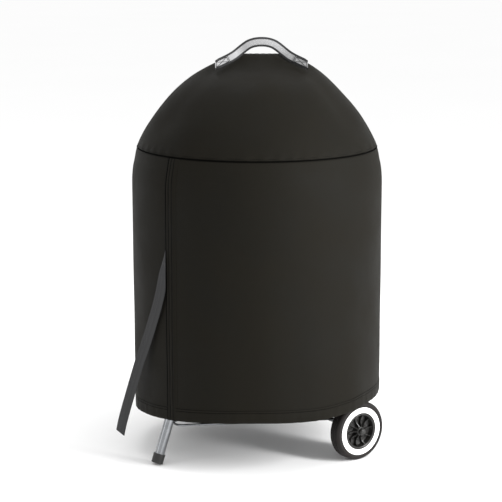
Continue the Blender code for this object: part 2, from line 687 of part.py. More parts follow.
def make_wheels():
    """Each wheel's own +Z points outward along the axle, and its origin is on the axle."""
    at_axle, middle = wheel_side_sizes()
    seat = HUB_RADIUS + TYRE_SEAT_PLAY
    flat = TYRE_WIDTH / 2 - WHITEWALL_THICK
    shoulder = TYRE_WIDTH / 2
    tyre = [
        (seat, -flat), (WHITEWALL_RADIUS + 0.001, -flat), (WHITEWALL_RADIUS + 0.002, -shoulder),
        (WHEEL_RADIUS - 0.004, -shoulder + 0.001), (WHEEL_RADIUS, -shoulder + 0.007),
        (WHEEL_RADIUS, shoulder - 0.007), (WHEEL_RADIUS - 0.004, shoulder - 0.001),
        (WHITEWALL_RADIUS + 0.002, shoulder), (WHITEWALL_RADIUS + 0.001, flat), (seat, flat),
    ]
    bore = AXLE_RADIUS + AXLE_PLAY
    boss = bore + 0.007
    rim = HUB_RADIUS - 0.006
    side = TYRE_WIDTH / 2 - 0.001
    web = 0.003
    hub = [
        (bore, -HUB_WIDTH / 2), (boss, -HUB_WIDTH / 2), (boss, -web), (rim, -web), (rim, -side),
        (HUB_RADIUS, -side), (HUB_RADIUS, side), (rim, side), (rim, web), (boss, web),
        (boss, HUB_WIDTH / 2), (bore, HUB_WIDTH / 2),
    ]
    low = flat + GAP
    whitewall = [
        (WHITEWALL_INNER, low), (WHITEWALL_RADIUS, low),
        (WHITEWALL_RADIUS, low + WHITEWALL_THICK), (WHITEWALL_INNER, low + WHITEWALL_THICK),
    ]
    for name, outward in (("right", -1), ("left", 1)):
        turn = Matrix.Rotation(math.radians(-90 * outward), 4, "X")
        matrix = Matrix.Translation((at_axle.x, outward * middle, WHEEL_RADIUS)) @ turn
        place(f"tyre_{name}", turned(f"tyre_{name}", tyre, 28), "tyre_rubber", matrix=matrix)
        place(f"wheel_hub_{name}", turned(f"wheel_hub_{name}", hub, 18), "black_hub", matrix=matrix)
        place(f"whitewall_{name}", turned(f"whitewall_{name}", whitewall, 32), "white_trim", matrix=matrix)


def rounded_loop(corners, radius, steps=4):
    """A flat closed route through the corners, each rounded by an arc."""
    route = []
    count = len(corners)
    for i, corner in enumerate(corners):
        before = (corners[i - 1] - corner).normalized()
        after = (corners[(i + 1) % count] - corner).normalized()
        half = before.angle(after) / 2
        centre = corner + (before + after).normalized() * (radius / math.sin(half))
        first = corner + before * (radius / math.tan(half)) - centre
        last = corner + after * (radius / math.tan(half)) - centre
        for k in range(steps + 1):
            route.append(centre + first.slerp(last, k / steps).normalized() * radius)
    return route


def make_wire_shelf():
    """A three-cornered rack of wire between the legs, with slats parallel to the axle."""
    corners = []
    for azimuth, foot in LEGS.values():
        inset = LEG_RADIUS + BUSH_WALL + SHELF_WIRE + SHELF_PLAY
        reach = leg_point(azimuth, foot, SHELF_HEIGHT).xy.length - inset
        # The rounding draws the loop in at its corners, so the sharp corners stand further out.
        reach += SHELF_CORNER * (1 / math.sin(math.radians(30)) - 1)
        corners.append(polar(reach, azimuth, SHELF_HEIGHT))
    loop = rounded_loop(corners, SHELF_CORNER)
    mesh = wire("wire_shelf", [loop], SHELF_WIRE, cyclic=True)
    shelf = place("wire_shelf", mesh, "plated_wire")
    back = corners[1].x
    front = corners[0].x
    slats = []
    for k in range(1, SHELF_SLATS + 1):
        x = back + (front - back) * k / (SHELF_SLATS + 1.4)
        half = abs(corners[1].y) * (x - front) / (back - front)
        slats.append([(x, -half, SHELF_HEIGHT), (x, half, SHELF_HEIGHT)])
    boolean(shelf, helper("shelf_slats", wire("shelf_slats", slats, SHELF_WIRE * 0.7)), "UNION")


# ---- ash pan, holder, sweeper --------------------------------------------------------
def make_ash_pan():
    top = PAN_HEIGHT + PAN_DEPTH
    profile = [
        (0, PAN_HEIGHT), (PAN_FLOOR_RADIUS, PAN_HEIGHT), (PAN_RADIUS - 0.004, top - 0.003),
        (PAN_RADIUS, top - 0.003), (PAN_RADIUS, top), (PAN_RADIUS - 0.004 - PAN_WALL, top),
        (PAN_FLOOR_RADIUS - PAN_WALL, PAN_HEIGHT + PAN_WALL), (0, PAN_HEIGHT + PAN_WALL),
    ]
    place("ash_pan", turned("ash_pan", profile, 32), "pan_aluminium")
    level = PAN_HEIGHT - HOLDER_WIRE - GAP
    ring = [polar(HOLDER_CIRCLE, 2 * math.pi * (i + 0.5) / 30, level) for i in range(30)]
    holder = place("ash_pan_holder", wire("ash_pan_holder", [ring], HOLDER_WIRE, cyclic=True), "plated_wire")
    for n, (azimuth, foot) in enumerate(LEGS.values()):
        lean = math.atan2(foot - LEG_TOP_CIRCLE, LEG_TOP_HEIGHT)
        leg = leg_point(azimuth, foot, level).xy.length
        end = leg - LEG_RADIUS / math.cos(lean) - HOLDER_WIRE * math.tan(lean) - 3 * GAP
        route = [polar(HOLDER_CIRCLE - HOLDER_WIRE * 0.4, azimuth, level), polar(end, azimuth, level)]
        arm = wire(f"holder_arm_{n}", [route], HOLDER_WIRE * 0.85)
        boolean(holder, helper(f"holder_arm_{n}", arm), "UNION")


def make_sweeper():
    """Three blades that hug the bowl's inside, on a shaft turned by a lever under the bowl."""
    steps = 48
    shares = (0.34, 0.67, 1.0)
    lift = SWEEPER_LIFT + BOWL_WALL
    bore = SHAFT_RADIUS + GAP
    rings = [[] for _ in range(len(shares) + 1)]
    for i in range(steps):
        azimuth = 2 * math.pi * i / steps
        off = (azimuth - LEVER_AZIMUTH + math.pi / 3) % (2 * math.pi / 3) - math.pi / 3
        reach = SWEEPER_REACH if abs(off) < SWEEPER_BLADE_HALF else SWEEPER_HUB
        for ring, share in zip(rings, (0.0, *shares)):
            radius = bore + (reach - bore) * share
            ring.append(polar(radius, azimuth, bowl_height(radius, -lift)))
    bm = bmesh.new()
    under = [[bm.verts.new(p) for p in ring] for ring in rings]
    over = [[bm.verts.new(p + Vector((0, 0, SWEEPER_THICK))) for p in ring] for ring in rings]
    for wall in (under, over):
        for low, high in zip(wall, wall[1:]):
            for j in range(steps):
                bm.faces.new((low[j - 1], low[j], high[j], high[j - 1]))
    for i in (0, -1):
        for j in range(steps):
            bm.faces.new((under[i][j - 1], under[i][j], over[i][j], over[i][j - 1]))
    place("sweeper_blades", tidy(bm, "sweeper_blades"), "bare_steel")
    bottom = bowl_height(0) - LEVER_DROP
    blades_top = bowl_height(bore, -lift) + SWEEPER_THICK
    nut_low = bowl_height(NUT_RADIUS, -lift) + SWEEPER_THICK + GAP
    shaft_top = blades_top + SHAFT_ABOVE_BLADES
    place("sweeper_shaft", cylinder("sweeper_shaft", SHAFT_RADIUS, bottom, shaft_top, 16), "bare_steel")
    inside = (SHAFT_RADIUS + 2 * GAP) / math.cos(math.pi / 6)
    nut = [(inside, nut_low), (NUT_RADIUS, nut_low), (NUT_RADIUS, nut_low + NUT_THICK), (inside, nut_low + NUT_THICK)]
    place("sweeper_nut", turned("sweeper_nut", nut, 6), "bare_steel")
    head = LEVER_HALF_WIDTH * 1.5
    turns = [math.radians(40 + 280 * i / 12) for i in range(13)]
    outline = [(head * math.cos(t), head * math.sin(t)) for t in turns]
    tip = [math.radians(-90 + 180 * i / 8) for i in range(9)]
    middle = LEVER_LENGTH - LEVER_HALF_WIDTH
    outline += [(middle + LEVER_HALF_WIDTH * math.cos(t), LEVER_HALF_WIDTH * math.sin(t)) for t in tip]
    lever = plate("sweeper_lever", outline, bottom + GAP, bottom + GAP + LEVER_THICK)
    lever = place("sweeper_lever", lever, "pan_aluminium", matrix=around_z(LEVER_AZIMUTH))
    hole = cylinder("lever_hole", SHAFT_RADIUS + GAP, bottom - 0.01, bottom + 0.02, 16)
    boolean(lever, helper("lever_hole_cutter", hole), "DIFFERENCE")


# ---- grates ---------------------------------------------------------------------------
def make_grate(name, radius, height, rim_wire, bar_wire, bars, look):
    """A wire ring filled with straight parallel bars, and two cross bars under them."""
    ring = [polar(radius - rim_wire, 2 * math.pi * i / 40, height) for i in range(40)]
    grate = place(name, wire(name, [ring], rim_wire, cyclic=True), look)
    pitch = 2 * (radius - rim_wire) / (bars + 1)
    inside = radius - rim_wire
    routes = []
    for k in range(bars):
        y = pitch * (k - (bars - 1) / 2)
        half = math.sqrt(inside**2 - y**2)
        routes.append([(-half, y, height), (half, y, height)])
    boolean(grate, helper(f"{name}_bars", wire(f"{name}_bars", routes, bar_wire)), "UNION")
    crosses = []
    for side in (-1, 1):
        x = side * inside * CROSS_BAR_SHARE
        half = math.sqrt(inside**2 - x**2)
        low = height - bar_wire * 1.4
        crosses.append([(x, -half, low), (x, half, low)])
    boolean(grate, helper(f"{name}_cross_bars", wire(f"{name}_cross_bars", crosses, bar_wire)), "UNION")
    return grate


def make_grates():
    make_grate(
        "charcoal_grate", CHARCOAL_GRATE_RADIUS, CHARCOAL_GRATE_HEIGHT,
        CHARCOAL_WIRE, CHARCOAL_WIRE, CHARCOAL_BARS, "bare_steel",
    )
    grate = make_grate(
        "cooking_grate", COOKING_GRATE_RADIUS, COOKING_GRATE_HEIGHT,
        COOKING_RIM_WIRE, COOKING_BAR_WIRE, COOKING_BARS, "plated_wire",
    )
    loops = []
    inside = COOKING_GRATE_RADIUS - COOKING_RIM_WIRE * 2
    for side in (-1, 1):
        foot = side * (math.sqrt(inside**2 - GRATE_LOOP_HALF**2))
        route = []
        for i in range(13):
            turn = math.pi * i / 12
            along = GRATE_LOOP_HALF * math.copysign(abs(math.cos(turn)) ** 0.5, math.cos(turn))
            rise = GRATE_LOOP_RISE * math.sin(turn) ** 0.6
            route.append((along, foot - side * rise * 0.35, COOKING_GRATE_HEIGHT + rise))
        loops.append(route)
    made = wire("cooking_grate_loops", loops, COOKING_RIM_WIRE)
    boolean(grate, helper("cooking_grate_loops", made), "UNION")


# ---- lid --------------------------------------------------------------------------------
def damper_place():
    """The damper's place on the lid, with its own +Z along the lid's outward direction."""
    radial, up = lid_normal(DAMPER_FROM_AXIS)
    spot = polar(DAMPER_FROM_AXIS, DAMPER_AZIMUTH, lid_height(DAMPER_FROM_AXIS))
    out = polar(radial, DAMPER_AZIMUTH, up)
    return pointing(spot, spot + out)


def make_lid(group):
    skirt_in = LID_OUTER - LID_WALL
    inner = arc_profile(LID_DOME_RADIUS - LID_WALL, LID_HEIGHT, LID_FOOT, 1, 0.0)
    outer = arc_profile(LID_DOME_RADIUS, LID_HEIGHT + LID_WALL, LID_FOOT, 1, 0.0)
    shoulder = LID_FOOT + LID_WALL * 1.6
    profile = [
        (skirt_in, LID_FOOT - LID_SKIRT), (LID_OUTER, LID_FOOT - LID_SKIRT), (LID_OUTER, shoulder - 0.001),
        (LID_OUTER - 0.001, shoulder),
        *[point for point in outer if point[1] > shoulder + 0.003],
        *inner[::-1],
        (skirt_in, LID_FOOT),
    ]
    lid = place("lid", turned("lid", profile), "black_enamel", group)
    spot = damper_place()
    for k in range(4):
        azimuth = math.radians(45 + 90 * k)
        vent = cylinder(f"lid_vent_{k}", LID_VENT_RADIUS, -0.02, 0.02, 16)
        matrix = spot @ Matrix.Translation(polar(LID_VENT_CIRCLE, azimuth))
        boolean(lid, helper(f"lid_vent_cutter_{k}", vent, group, matrix), "DIFFERENCE")
    pivot = cylinder("rivet_hole", RIVET_RADIUS + RIVET_PLAY, -0.02, 0.02, 16)
    boolean(lid, helper("rivet_hole_cutter", pivot, group, spot), "DIFFERENCE")
    low, high = lid_height(0) - 0.03, lid_height(0) + 0.02
    for n, sign in enumerate((-1, 1)):
        hole = cylinder(f"handle_bolt_hole_{n}", BOLT_RADIUS + BOLT_PLAY, low, high, 12)
        matrix = Matrix.Translation((sign * LID_HANDLE_HALF, 0, 0))
        boolean(lid, helper(f"handle_bolt_hole_cutter_{n}", hole, group, matrix), "DIFFERENCE")


def make_lid_damper(group):
    """A flat disc with four openings and a thumb tab, on a rivet through the lid."""
    spot = damper_place()
    low = DAMPER_LIFT - DAMPER_THICK / 2
    high = DAMPER_LIFT + DAMPER_THICK / 2
    tab = math.radians(14)
    turns = [tab + (2 * math.pi - 2 * tab) * i / 36 for i in range(37)]
    outline = [(DAMPER_RADIUS * math.cos(t), DAMPER_RADIUS * math.sin(t)) for t in turns]
    outline += [(DAMPER_RADIUS + 0.016, -0.008), (DAMPER_RADIUS + 0.016, 0.008)]
    damper = place("lid_damper", plate("lid_damper", outline, low, high), "pan_aluminium", group, spot)
    for k in range(4):
        azimuth = math.radians(45 + 90 * k)
        opening = cylinder(f"damper_opening_{k}", LID_VENT_RADIUS, -0.01, 0.02, 16)
        matrix = spot @ Matrix.Translation(polar(LID_VENT_CIRCLE, azimuth))
        boolean(damper, helper(f"damper_opening_cutter_{k}", opening, group, matrix), "DIFFERENCE")
    hole = cylinder("damper_hole", RIVET_RADIUS + RIVET_PLAY, -0.01, 0.02, 16)
    boolean(damper, helper("damper_hole_cutter", hole, group, spot), "DIFFERENCE")
    under = -LID_WALL - FACET_PLAY - GAP
    washer = RIVET_RADIUS + 0.0035
    rivet = [
        (0, under - 0.0012), (washer, under - 0.0012), (washer, under), (RIVET_RADIUS, under),
        (RIVET_RADIUS, high + 2 * GAP), (RIVET_HEAD, high + 2 * GAP), (RIVET_HEAD * 0.7, high + 0.003), (0, high + 0.0036),
    ]
    place("damper_rivet", turned("damper_rivet", rivet, 16), "bare_steel", group, spot)


def lid_patch(name, offset, thick):
    """A strip over the lid's top, its upper face at this offset from the lid."""
    columns = 13
    rows = []
    for across in (-1, -1 / 3, 1 / 3, 1):
        y = SHIELD_HALF_WIDTH * across
        row = []
        for j in range(columns):
            x = SHIELD_HALF_LENGTH * (2 * j / (columns - 1) - 1)
            row.append((x, y, lid_height(math.hypot(x, y), offset)))
        rows.append(row)
    return slab(name, rows, np.full((len(rows), columns, 3), (0.0, 0.0, -thick)))


def make_lid_handle(group):
    """A nylon arch on a heat shield, held by two bolts from inside the lid."""
    on_lid = 2 * GAP + SHIELD_THICK
    shield = lid_patch("lid_handle_shield", on_lid, SHIELD_THICK)
    shield = place("lid_handle_shield", shield, "bare_steel", group)
    low, high = lid_height(0) - 0.03, lid_height(0) + 0.02
    trim = helper("lid_handle_trim", lid_patch("lid_handle_trim", on_lid + GAP, 0.03), group)
    base = lid_height(LID_HANDLE_HALF) + LID_HANDLE_BASE
    route = [(-LID_HANDLE_HALF, 0, base - 0.02)]
    for i in range(21):
        turn = math.pi * i / 20
        x = -LID_HANDLE_HALF * math.copysign(abs(math.cos(turn)) ** 0.62, math.cos(turn))
        route.append((x, 0, base + LID_HANDLE_RISE * math.sin(turn) ** 0.62))
    route.append((LID_HANDLE_HALF, 0, base - 0.02))
    handle = place("lid_handle", wire("lid_handle", [route], LID_HANDLE_RADIUS, bevel=3), "black_nylon", group)
    boolean(handle, trim, "DIFFERENCE")
    for n, (side, sign) in enumerate((("left", -1), ("right", 1))):
        hole = cylinder(f"shield_hole_{n}", BOLT_RADIUS + BOLT_PLAY, low, high, 12)
        matrix = Matrix.Translation((sign * LID_HANDLE_HALF, 0, 0))
        boolean(shield, helper(f"shield_hole_cutter_{n}", hole, group, matrix), "DIFFERENCE")
        ceiling = lid_height(LID_HANDLE_HALF + BOLT_HEAD_RADIUS) - LID_WALL * 1.2
        head = ceiling - BOLT_HEAD_THICK - 2 * GAP
        tip = lid_height(LID_HANDLE_HALF + BOLT_RADIUS, on_lid) - GAP
        profile = [
            (0, head), (BOLT_HEAD_RADIUS, head), (BOLT_HEAD_RADIUS, head + BOLT_HEAD_THICK),
            (BOLT_RADIUS, head + BOLT_HEAD_THICK), (BOLT_RADIUS, tip), (0, tip),
        ]
        name = f"lid_handle_bolt_{side}"
        place(name, turned(name, profile, 12), "bare_steel", group, matrix)


# ---- cover ------------------------------------------------------------------------------
def hem_height(azimuth):
    """Height of the hem's edge round the cover: a smooth closed curve through HEM_HEIGHTS."""
    count = len(HEM_HEIGHTS)
    place_on_it = (azimuth + math.pi) / (2 * math.pi) * count
    i = math.floor(place_on_it)
    t = place_on_it - i
    a, b, c, d = (HEM_HEIGHTS[(i + k) % count] for k in (-1, 0, 1, 2))
    return b + 0.5 * t * (c - a + t * (2 * a - 5 * b + 4 * c - d + t * (3 * (b - c) + d - a)))


def skirt_radius(height):
    """The skirt is a cylinder that draws in smoothly over the shoulder up to the seam."""
    share = max(0.0, (height - COVER_SEAM_HEIGHT + COVER_SHOULDER) / COVER_SHOULDER)
    return COVER_RADIUS - (COVER_RADIUS - COVER_SEAM_RADIUS) * share**2


def dome_point(share, azimuth):
    """A point of the dome at a share of its rise: round at the seam, a narrow ridge at the top."""
    along = COVER_SEAM_RADIUS * math.sqrt(max(0.0, 1 - share**COVER_DOME_SHARPNESS))
    step = 1 / (1 + math.exp(-(share - COVER_RIDGE_FROM) / COVER_RIDGE_SOFTNESS))
    deep = along * (1 - COVER_RIDGE_NARROWS * step)
    lean = min(1.0, max(0.0, (share - 0.5) / 0.45))
    shift = COVER_TOP_LEAN * lean * lean * (3 - 2 * lean)
    height = COVER_SEAM_HEIGHT + COVER_DOME_RISE * share
    return shift + along * math.cos(azimuth), deep * math.sin(azimuth), height


def azimuths():
    return [2 * math.pi * j / CLOTH_STEPS - math.pi for j in range(CLOTH_STEPS)]


def make_cover_dome(group):
    shares = (0.0, 0.10, 0.24, 0.40, 0.55, 0.68, 0.78, 0.87, COVER_RIDGE_SHARE)
    rings = [[dome_point(share, a) for a in azimuths()] for share in shares]
    top = np.array(rings[-1])
    middle = top.mean(axis=0)
    for scale, rise in ((0.6, 0.1),):
        ring = middle + (top - middle) * scale
        ring[:, 2] += COVER_RIDGE_SAG * (rise - 0.5)
        rings.append([tuple(p) for p in ring])
    lift = np.zeros((len(rings), CLOTH_STEPS, 3))
    lift[0, :, 2] = GAP
    mesh = shell("cover_dome", np.array(rings) + lift, COVER_THICK, pole=True)
    place("cover_dome", mesh, "cover_cloth", group)


def make_cover_skirt(group):
    shares = (0.0, 0.45, 0.835, 0.89, 0.95, 1.0)
    rings = []
    for share in shares:
        ring = []
        for a in azimuths():
            low = hem_height(a) + HEM_DEPTH
            height = low + (COVER_SEAM_HEIGHT - low) * share
            radius = skirt_radius(height)
            ring.append((radius * math.cos(a), radius * math.sin(a), height))
        rings.append(ring)
    place("cover_skirt", shell("cover_skirt", rings, COVER_THICK), "cover_cloth", group)


def make_cover_hem(group):
    rings = []
    for share in (0.0, 1.0):
        ring = []
        for a in azimuths():
            height = hem_height(a) + (HEM_DEPTH - GAP) * share
            ring.append((COVER_RADIUS * math.cos(a), COVER_RADIUS * math.sin(a), height))
        rings.append(ring)
    place("cover_hem", shell("cover_hem", rings, COVER_THICK), "cover_cloth", group)


def make_seam_flap(group):
    """The strip that covers the upright closing seam, from the shoulder seam to the hem."""
    rows, backs = [], []
    steps = 14
    for i in range(steps + 1):
        row, back = [], []
        for across in (-1, -0.5, 0, 0.5, 1):
            turn = FLAP_AZIMUTH + across * FLAP_WIDTH / 2 / COVER_RADIUS
            low = hem_height(turn) + 0.002
            height = low + (COVER_SEAM_HEIGHT - 0.004 - low) * i / steps
            radius = skirt_radius(height) + FLAP_THICK + 3 * GAP
            row.append((radius * math.cos(turn), radius * math.sin(turn), height))
            back.append((-FLAP_THICK * math.cos(turn), -FLAP_THICK * math.sin(turn), 0))
        rows.append(row)
        backs.append(back)
    place("cover_seam_flap", slab("cover_seam_flap", rows, backs), "cover_cloth", group)


def dome_front(x, height):
    """How far the dome's front stands before its middle plane at this place, 0 off the dome."""
    share = (height - COVER_SEAM_HEIGHT) / COVER_DOME_RISE
    if share >= COVER_RIDGE_SHARE:
        share = COVER_RIDGE_SHARE
    right, _, _ = dome_point(share, 0.0)
    left, _, _ = dome_point(share, math.pi)
    _, deep, _ = dome_point(share, math.pi / 2)
    middle, half = (right + left) / 2, (right - left) / 2
    inside = 1 - ((x - middle) / half) ** 2
    return deep * math.sqrt(inside) if inside > 0 else 0.0


def carry_height(x):
    """Middle line of the carry handle: a rounded peak with nearly straight ends down the dome's slopes."""
    apex = CARRY_APEX - CARRY_WIDTH / 2
    rounded = (abs(x) ** CARRY_BEND + CARRY_ROUND**CARRY_BEND) ** (1 / CARRY_BEND)
    return apex - CARRY_SLOPE * (rounded - CARRY_ROUND)


def make_carry_handle(group):
    """A webbing band on edge, its face to the front, sewn at both ends to the ridge's front."""
    rows, backs = [], []
    steps = 28
    front = max(
        dome_front(COVER_TOP_LEAN + x, carry_height(x) - CARRY_WIDTH / 2)
        for x in (-CARRY_OPEN_HALF, CARRY_OPEN_HALF)
    )
    for i in range(steps + 1):
        x = CARRY_HALF * (2 * i / steps - 1)
        slope = (carry_height(x + 0.001) - carry_height(x - 0.001)) / 0.002
        size = math.hypot(1, slope)
        normal = (-slope / size, 1 / size)
        row, back = [], []
        for across in (-0.5, 0.5):
            px = COVER_TOP_LEAN + x + normal[0] * CARRY_WIDTH * across
            pz = carry_height(x) + normal[1] * CARRY_WIDTH * across
            low = min(pz, carry_height(x) - normal[1] * CARRY_WIDTH / 2)
            deep = max(dome_front(px, low), dome_front(px, pz), front * 0.6)
            row.append((px, -deep - CARRY_STAND_OFF - CARRY_THICK, pz))
            back.append((0, CARRY_THICK, 0))
        rows.append(row)
        backs.append(back)
    place("carry_handle", slab("carry_handle", rows, backs), "handle_webbing", group)


def make_strap(group):
    """A loose flat strap that leaves the flap and slants down to the left, clear of the cover."""
    outward = polar(1.0, STRAP_AZIMUTH)
    leftward = Vector((outward.y, -outward.x, 0.0))
    touch = COVER_RADIUS + FLAP_THICK + STRAP_STAND_OFF
    route = [outward * touch + leftward * across + Vector((0, 0, height)) for across, height in STRAP_ROUTE]
    rows, backs = [], []
    for i, point in enumerate(route):
        ahead = route[min(i + 1, len(route) - 1)] - route[max(i - 1, 0)]
        side = ahead.cross(outward).normalized() * STRAP_WIDTH / 2
        rows.append([point + side, point - side])
        backs.append([-outward * STRAP_THICK, -outward * STRAP_THICK])
    place("cover_strap", slab("cover_strap", rows, backs), "cover_webbing", group)


def main():
    clear_scene()
    make_bowl()
    make_side_handles()
    make_grate_brackets()
    make_legs()
    make_foot_cap()
    make_axle_parts()
    make_wheels()
    make_wire_shelf()
    make_ash_pan()
    make_sweeper()
    make_grates()
    lid_group = empty("lid_group", COVER_TURN)
    make_lid(lid_group)
    make_lid_damper(lid_group)
    make_lid_handle(lid_group)
    cover_group = empty("cover_group", COVER_TURN)
    make_cover_dome(cover_group)
    make_cover_skirt(cover_group)
    make_cover_hem(cover_group)
    make_seam_flap(cover_group)
    make_carry_handle(cover_group)
    make_strap(cover_group)


main()
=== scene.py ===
"""A kettle charcoal grill under its fitted cover: cloth, webbing, enamel, wheels and wire round the fixed frame."""

import math

import bmesh
import bpy
import numpy as np
from mathutils import Matrix, Vector


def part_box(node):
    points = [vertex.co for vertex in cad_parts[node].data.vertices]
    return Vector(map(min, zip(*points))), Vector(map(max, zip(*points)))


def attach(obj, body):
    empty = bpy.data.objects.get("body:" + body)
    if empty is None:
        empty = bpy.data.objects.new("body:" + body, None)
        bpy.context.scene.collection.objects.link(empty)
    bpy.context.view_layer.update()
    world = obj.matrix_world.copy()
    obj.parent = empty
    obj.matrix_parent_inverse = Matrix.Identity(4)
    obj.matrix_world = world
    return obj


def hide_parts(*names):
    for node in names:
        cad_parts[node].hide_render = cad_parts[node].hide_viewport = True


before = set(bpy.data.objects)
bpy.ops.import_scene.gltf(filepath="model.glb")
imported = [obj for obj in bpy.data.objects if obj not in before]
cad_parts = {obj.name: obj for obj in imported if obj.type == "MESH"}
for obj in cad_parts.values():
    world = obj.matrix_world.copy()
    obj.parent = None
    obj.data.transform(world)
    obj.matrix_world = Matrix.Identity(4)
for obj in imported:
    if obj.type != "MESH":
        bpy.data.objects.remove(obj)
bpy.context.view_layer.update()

# ---- sizes, in metres and degrees, as the frame has them ---------------------------
COVER_TURN = -36.0
COVER_RADIUS = 0.3205
SEAM_HEIGHT = 0.793
SEAM_RADIUS = 0.3063
SHOULDER = 0.093
DOME_RISE = 0.240
DOME_SHARPNESS = 1.2
RIDGE_SHARE = 0.967
RIDGE_NARROWS = 0.68
RIDGE_FROM = 0.80
RIDGE_SOFTNESS = 0.04
TOP_LEAN = 0.0114
CLOTH_THICK = 0.0011
HEM_DEPTH = 0.033
HEM_THICK = 0.0028
HEM_HEIGHTS = np.array((0.111, 0.124, 0.140, 0.150, 0.146, 0.152, 0.148, 0.136, 0.142, 0.158, 0.142, 0.122))
FLAP_AZIMUTH = -130.6
FLAP_WIDTH = 0.032
FLAP_LIFT = 0.0022
STITCH_PITCH = 0.0046

CARRY_HALF = 0.116
CARRY_WIDTH = 0.024
CARRY_APEX = 1.070
CARRY_JOINT = 0.082

STRAP_WIDTH = 0.032
STRAP_THICK = 0.0018
STRAP_AZIMUTH = -133.4
STRAP_OUT = COVER_RADIUS + 0.0018 + 0.0040
# Along the strap: distance to the left in the plane that touches the cover, and height
STRAP_STEPS = (
    (-0.016, 0.5605), (-0.006, 0.532), (0.007, 0.499), (0.018, 0.459), (0.031, 0.420),
    (0.047, 0.380), (0.064, 0.341), (0.081, 0.303), (0.098, 0.265), (0.113, 0.228),
    (0.128, 0.192), (0.142, 0.156), (0.156, 0.120), (0.169, 0.087), (0.178, 0.061),
)

BOWL_RADIUS = 0.275
BOWL_DEPTH = 0.235
RIM_HEIGHT = 0.700
WALL = 0.0018
LID_FOOT = 0.7038
LID_RADIUS = 0.2791
LID_RISE = 0.2173
LID_OUTER = 0.2823

LEG_RADIUS = 0.0125
WHEEL_RADIUS = 0.0762
WHEEL_X = 0.1275


# ---- small tools --------------------------------------------------------------------
def smooth_step(low, high, value):
    """0 below low, 1 above high, and 3t^2 - 2t^3 between."""
    t = np.clip((np.asarray(value, float) - low) / (high - low), 0.0, 1.0)
    return t * t * (3 - 2 * t)


def bump_at(value, middle, width):
    """A bell curve: 1 at the middle, falling off as exp(-(distance / width)^2)."""
    return np.exp(-(((np.asarray(value, float) - middle) / width) ** 2))


def turned_to_frame(points, degrees=COVER_TURN):
    """Turns points about the vertical line through the origin."""
    turn = math.radians(degrees)
    points = np.asarray(points, float)
    x = points[..., 0] * math.cos(turn) - points[..., 1] * math.sin(turn)
    y = points[..., 0] * math.sin(turn) + points[..., 1] * math.cos(turn)
    return np.stack([x, y, points[..., 2]], axis=-1)


def moved(points, matrix):
    """Points p carried by a 4 x 4 matrix: R p + place."""
    matrix = np.array(matrix)
    return np.asarray(points, float) @ matrix[:3, :3].T + matrix[:3, 3]


def pointing(start, end):
    """A placement at start whose +Z looks at end."""
    start, end = Vector(start), Vector(end)
    return Matrix.Translation(start) @ (end - start).to_track_quat("Z", "Y").to_matrix().to_4x4()


def unit(vectors):
    """Vectors divided by their length."""
    vectors = np.asarray(vectors, float)
    return vectors / np.maximum(np.linalg.norm(vectors, axis=-1, keepdims=True), 1e-12)


def patch(points, wrap=False, first_pole=False, last_pole=False, uv=None):
    """Points of a rows x columns grid with its faces and their UV corners.
    Columns run anticlockwise and rows run on from them, so that column direction x row direction points out."""
    points = np.asarray(points, float)
    rows, cols = points.shape[:2]
    spans = cols if wrap else cols - 1
    if uv is None:
        u = np.arange(cols + 1 if wrap else cols) / cols
        uv = np.stack(np.meshgrid(u, np.arange(rows) / rows), axis=-1)
    uv = np.asarray(uv, float)
    wide = uv.shape[1]
    row, col = np.meshgrid(np.arange(rows - 1), np.arange(spans), indexing="ij")
    after = (col + 1) % cols
    quads = np.stack([row * cols + col, row * cols + after, (row + 1) * cols + after, (row + 1) * cols + col], -1)
    corner = np.stack([row * wide + col, row * wide + col + 1, (row + 1) * wide + col + 1, (row + 1) * wide + col], -1)
    flat_uv = uv.reshape(-1, 2)
    faces = [quads.reshape(-1, 4)]
    corners = [flat_uv[corner.reshape(-1, 4)]]
    vertices = [points.reshape(-1, 3)]
    ring = np.arange(spans)
    following = (ring + 1) % cols
    count = rows * cols
    for wanted, base, line in ((first_pole, 0, 0), (last_pole, (rows - 1) * cols, (rows - 1) * wide)):
        if not wanted:
            continue
        vertices.append(points[0 if base == 0 else -1].mean(axis=0)[None])
        middle = flat_uv[line:line + wide].mean(axis=0)
        tip = np.full(spans, count)
        near, far = flat_uv[line + ring], flat_uv[line + ring + 1]
        tips = np.broadcast_to(middle, near.shape)
        if base == 0:
            faces.append(np.stack([tip, following, ring], -1))
            corners.append(np.stack([tips, far, near], 1))
        else:
            faces.append(np.stack([base + ring, base + following, tip], -1))
            corners.append(np.stack([near, far, tips], 1))
        count += 1
    return np.concatenate(vertices), faces, corners


def piece(name, patches, look, body, stands_for=(), sharp=40.0, weld=True):
    """One object from one or more patches, shaded smooth but for edges sharper than the angle."""
    vertices, faces, corners, count = [], [], [], 0
    for points, groups, uvs in patches:
        vertices.append(points)
        for group, uv in zip(groups, uvs):
            faces.extend((group + count).tolist())
            corners.append(uv.reshape(-1, 2))
        count += len(points)
    mesh = bpy.data.meshes.new(name)
    mesh.from_pydata(np.concatenate(vertices), [], faces)
    layer = mesh.uv_layers.new(name="surface")
    layer.data.foreach_set("uv", np.concatenate(corners).astype(np.float32).ravel())
    if weld:
        bm = bmesh.new()
        bm.from_mesh(mesh)
        bmesh.ops.remove_doubles(bm, verts=bm.verts[:], dist=2e-6)
        bm.to_mesh(mesh)
        bm.free()
    mesh.shade_smooth()
    mesh.set_sharp_from_angle(angle=math.radians(sharp))
    obj = bpy.data.objects.new(name, mesh)
    bpy.context.scene.collection.objects.link(obj)
    mesh.materials.append(look)
    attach(obj, body)
    if stands_for:
        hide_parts(*stands_for)
    return obj


def thicken(obj, thick):
    """Gives a cloth surface its wall, inwards."""
    wall = obj.modifiers.new("cloth thickness", "SOLIDIFY")
    wall.thickness = thick
    wall.offset = -1.0
    return obj


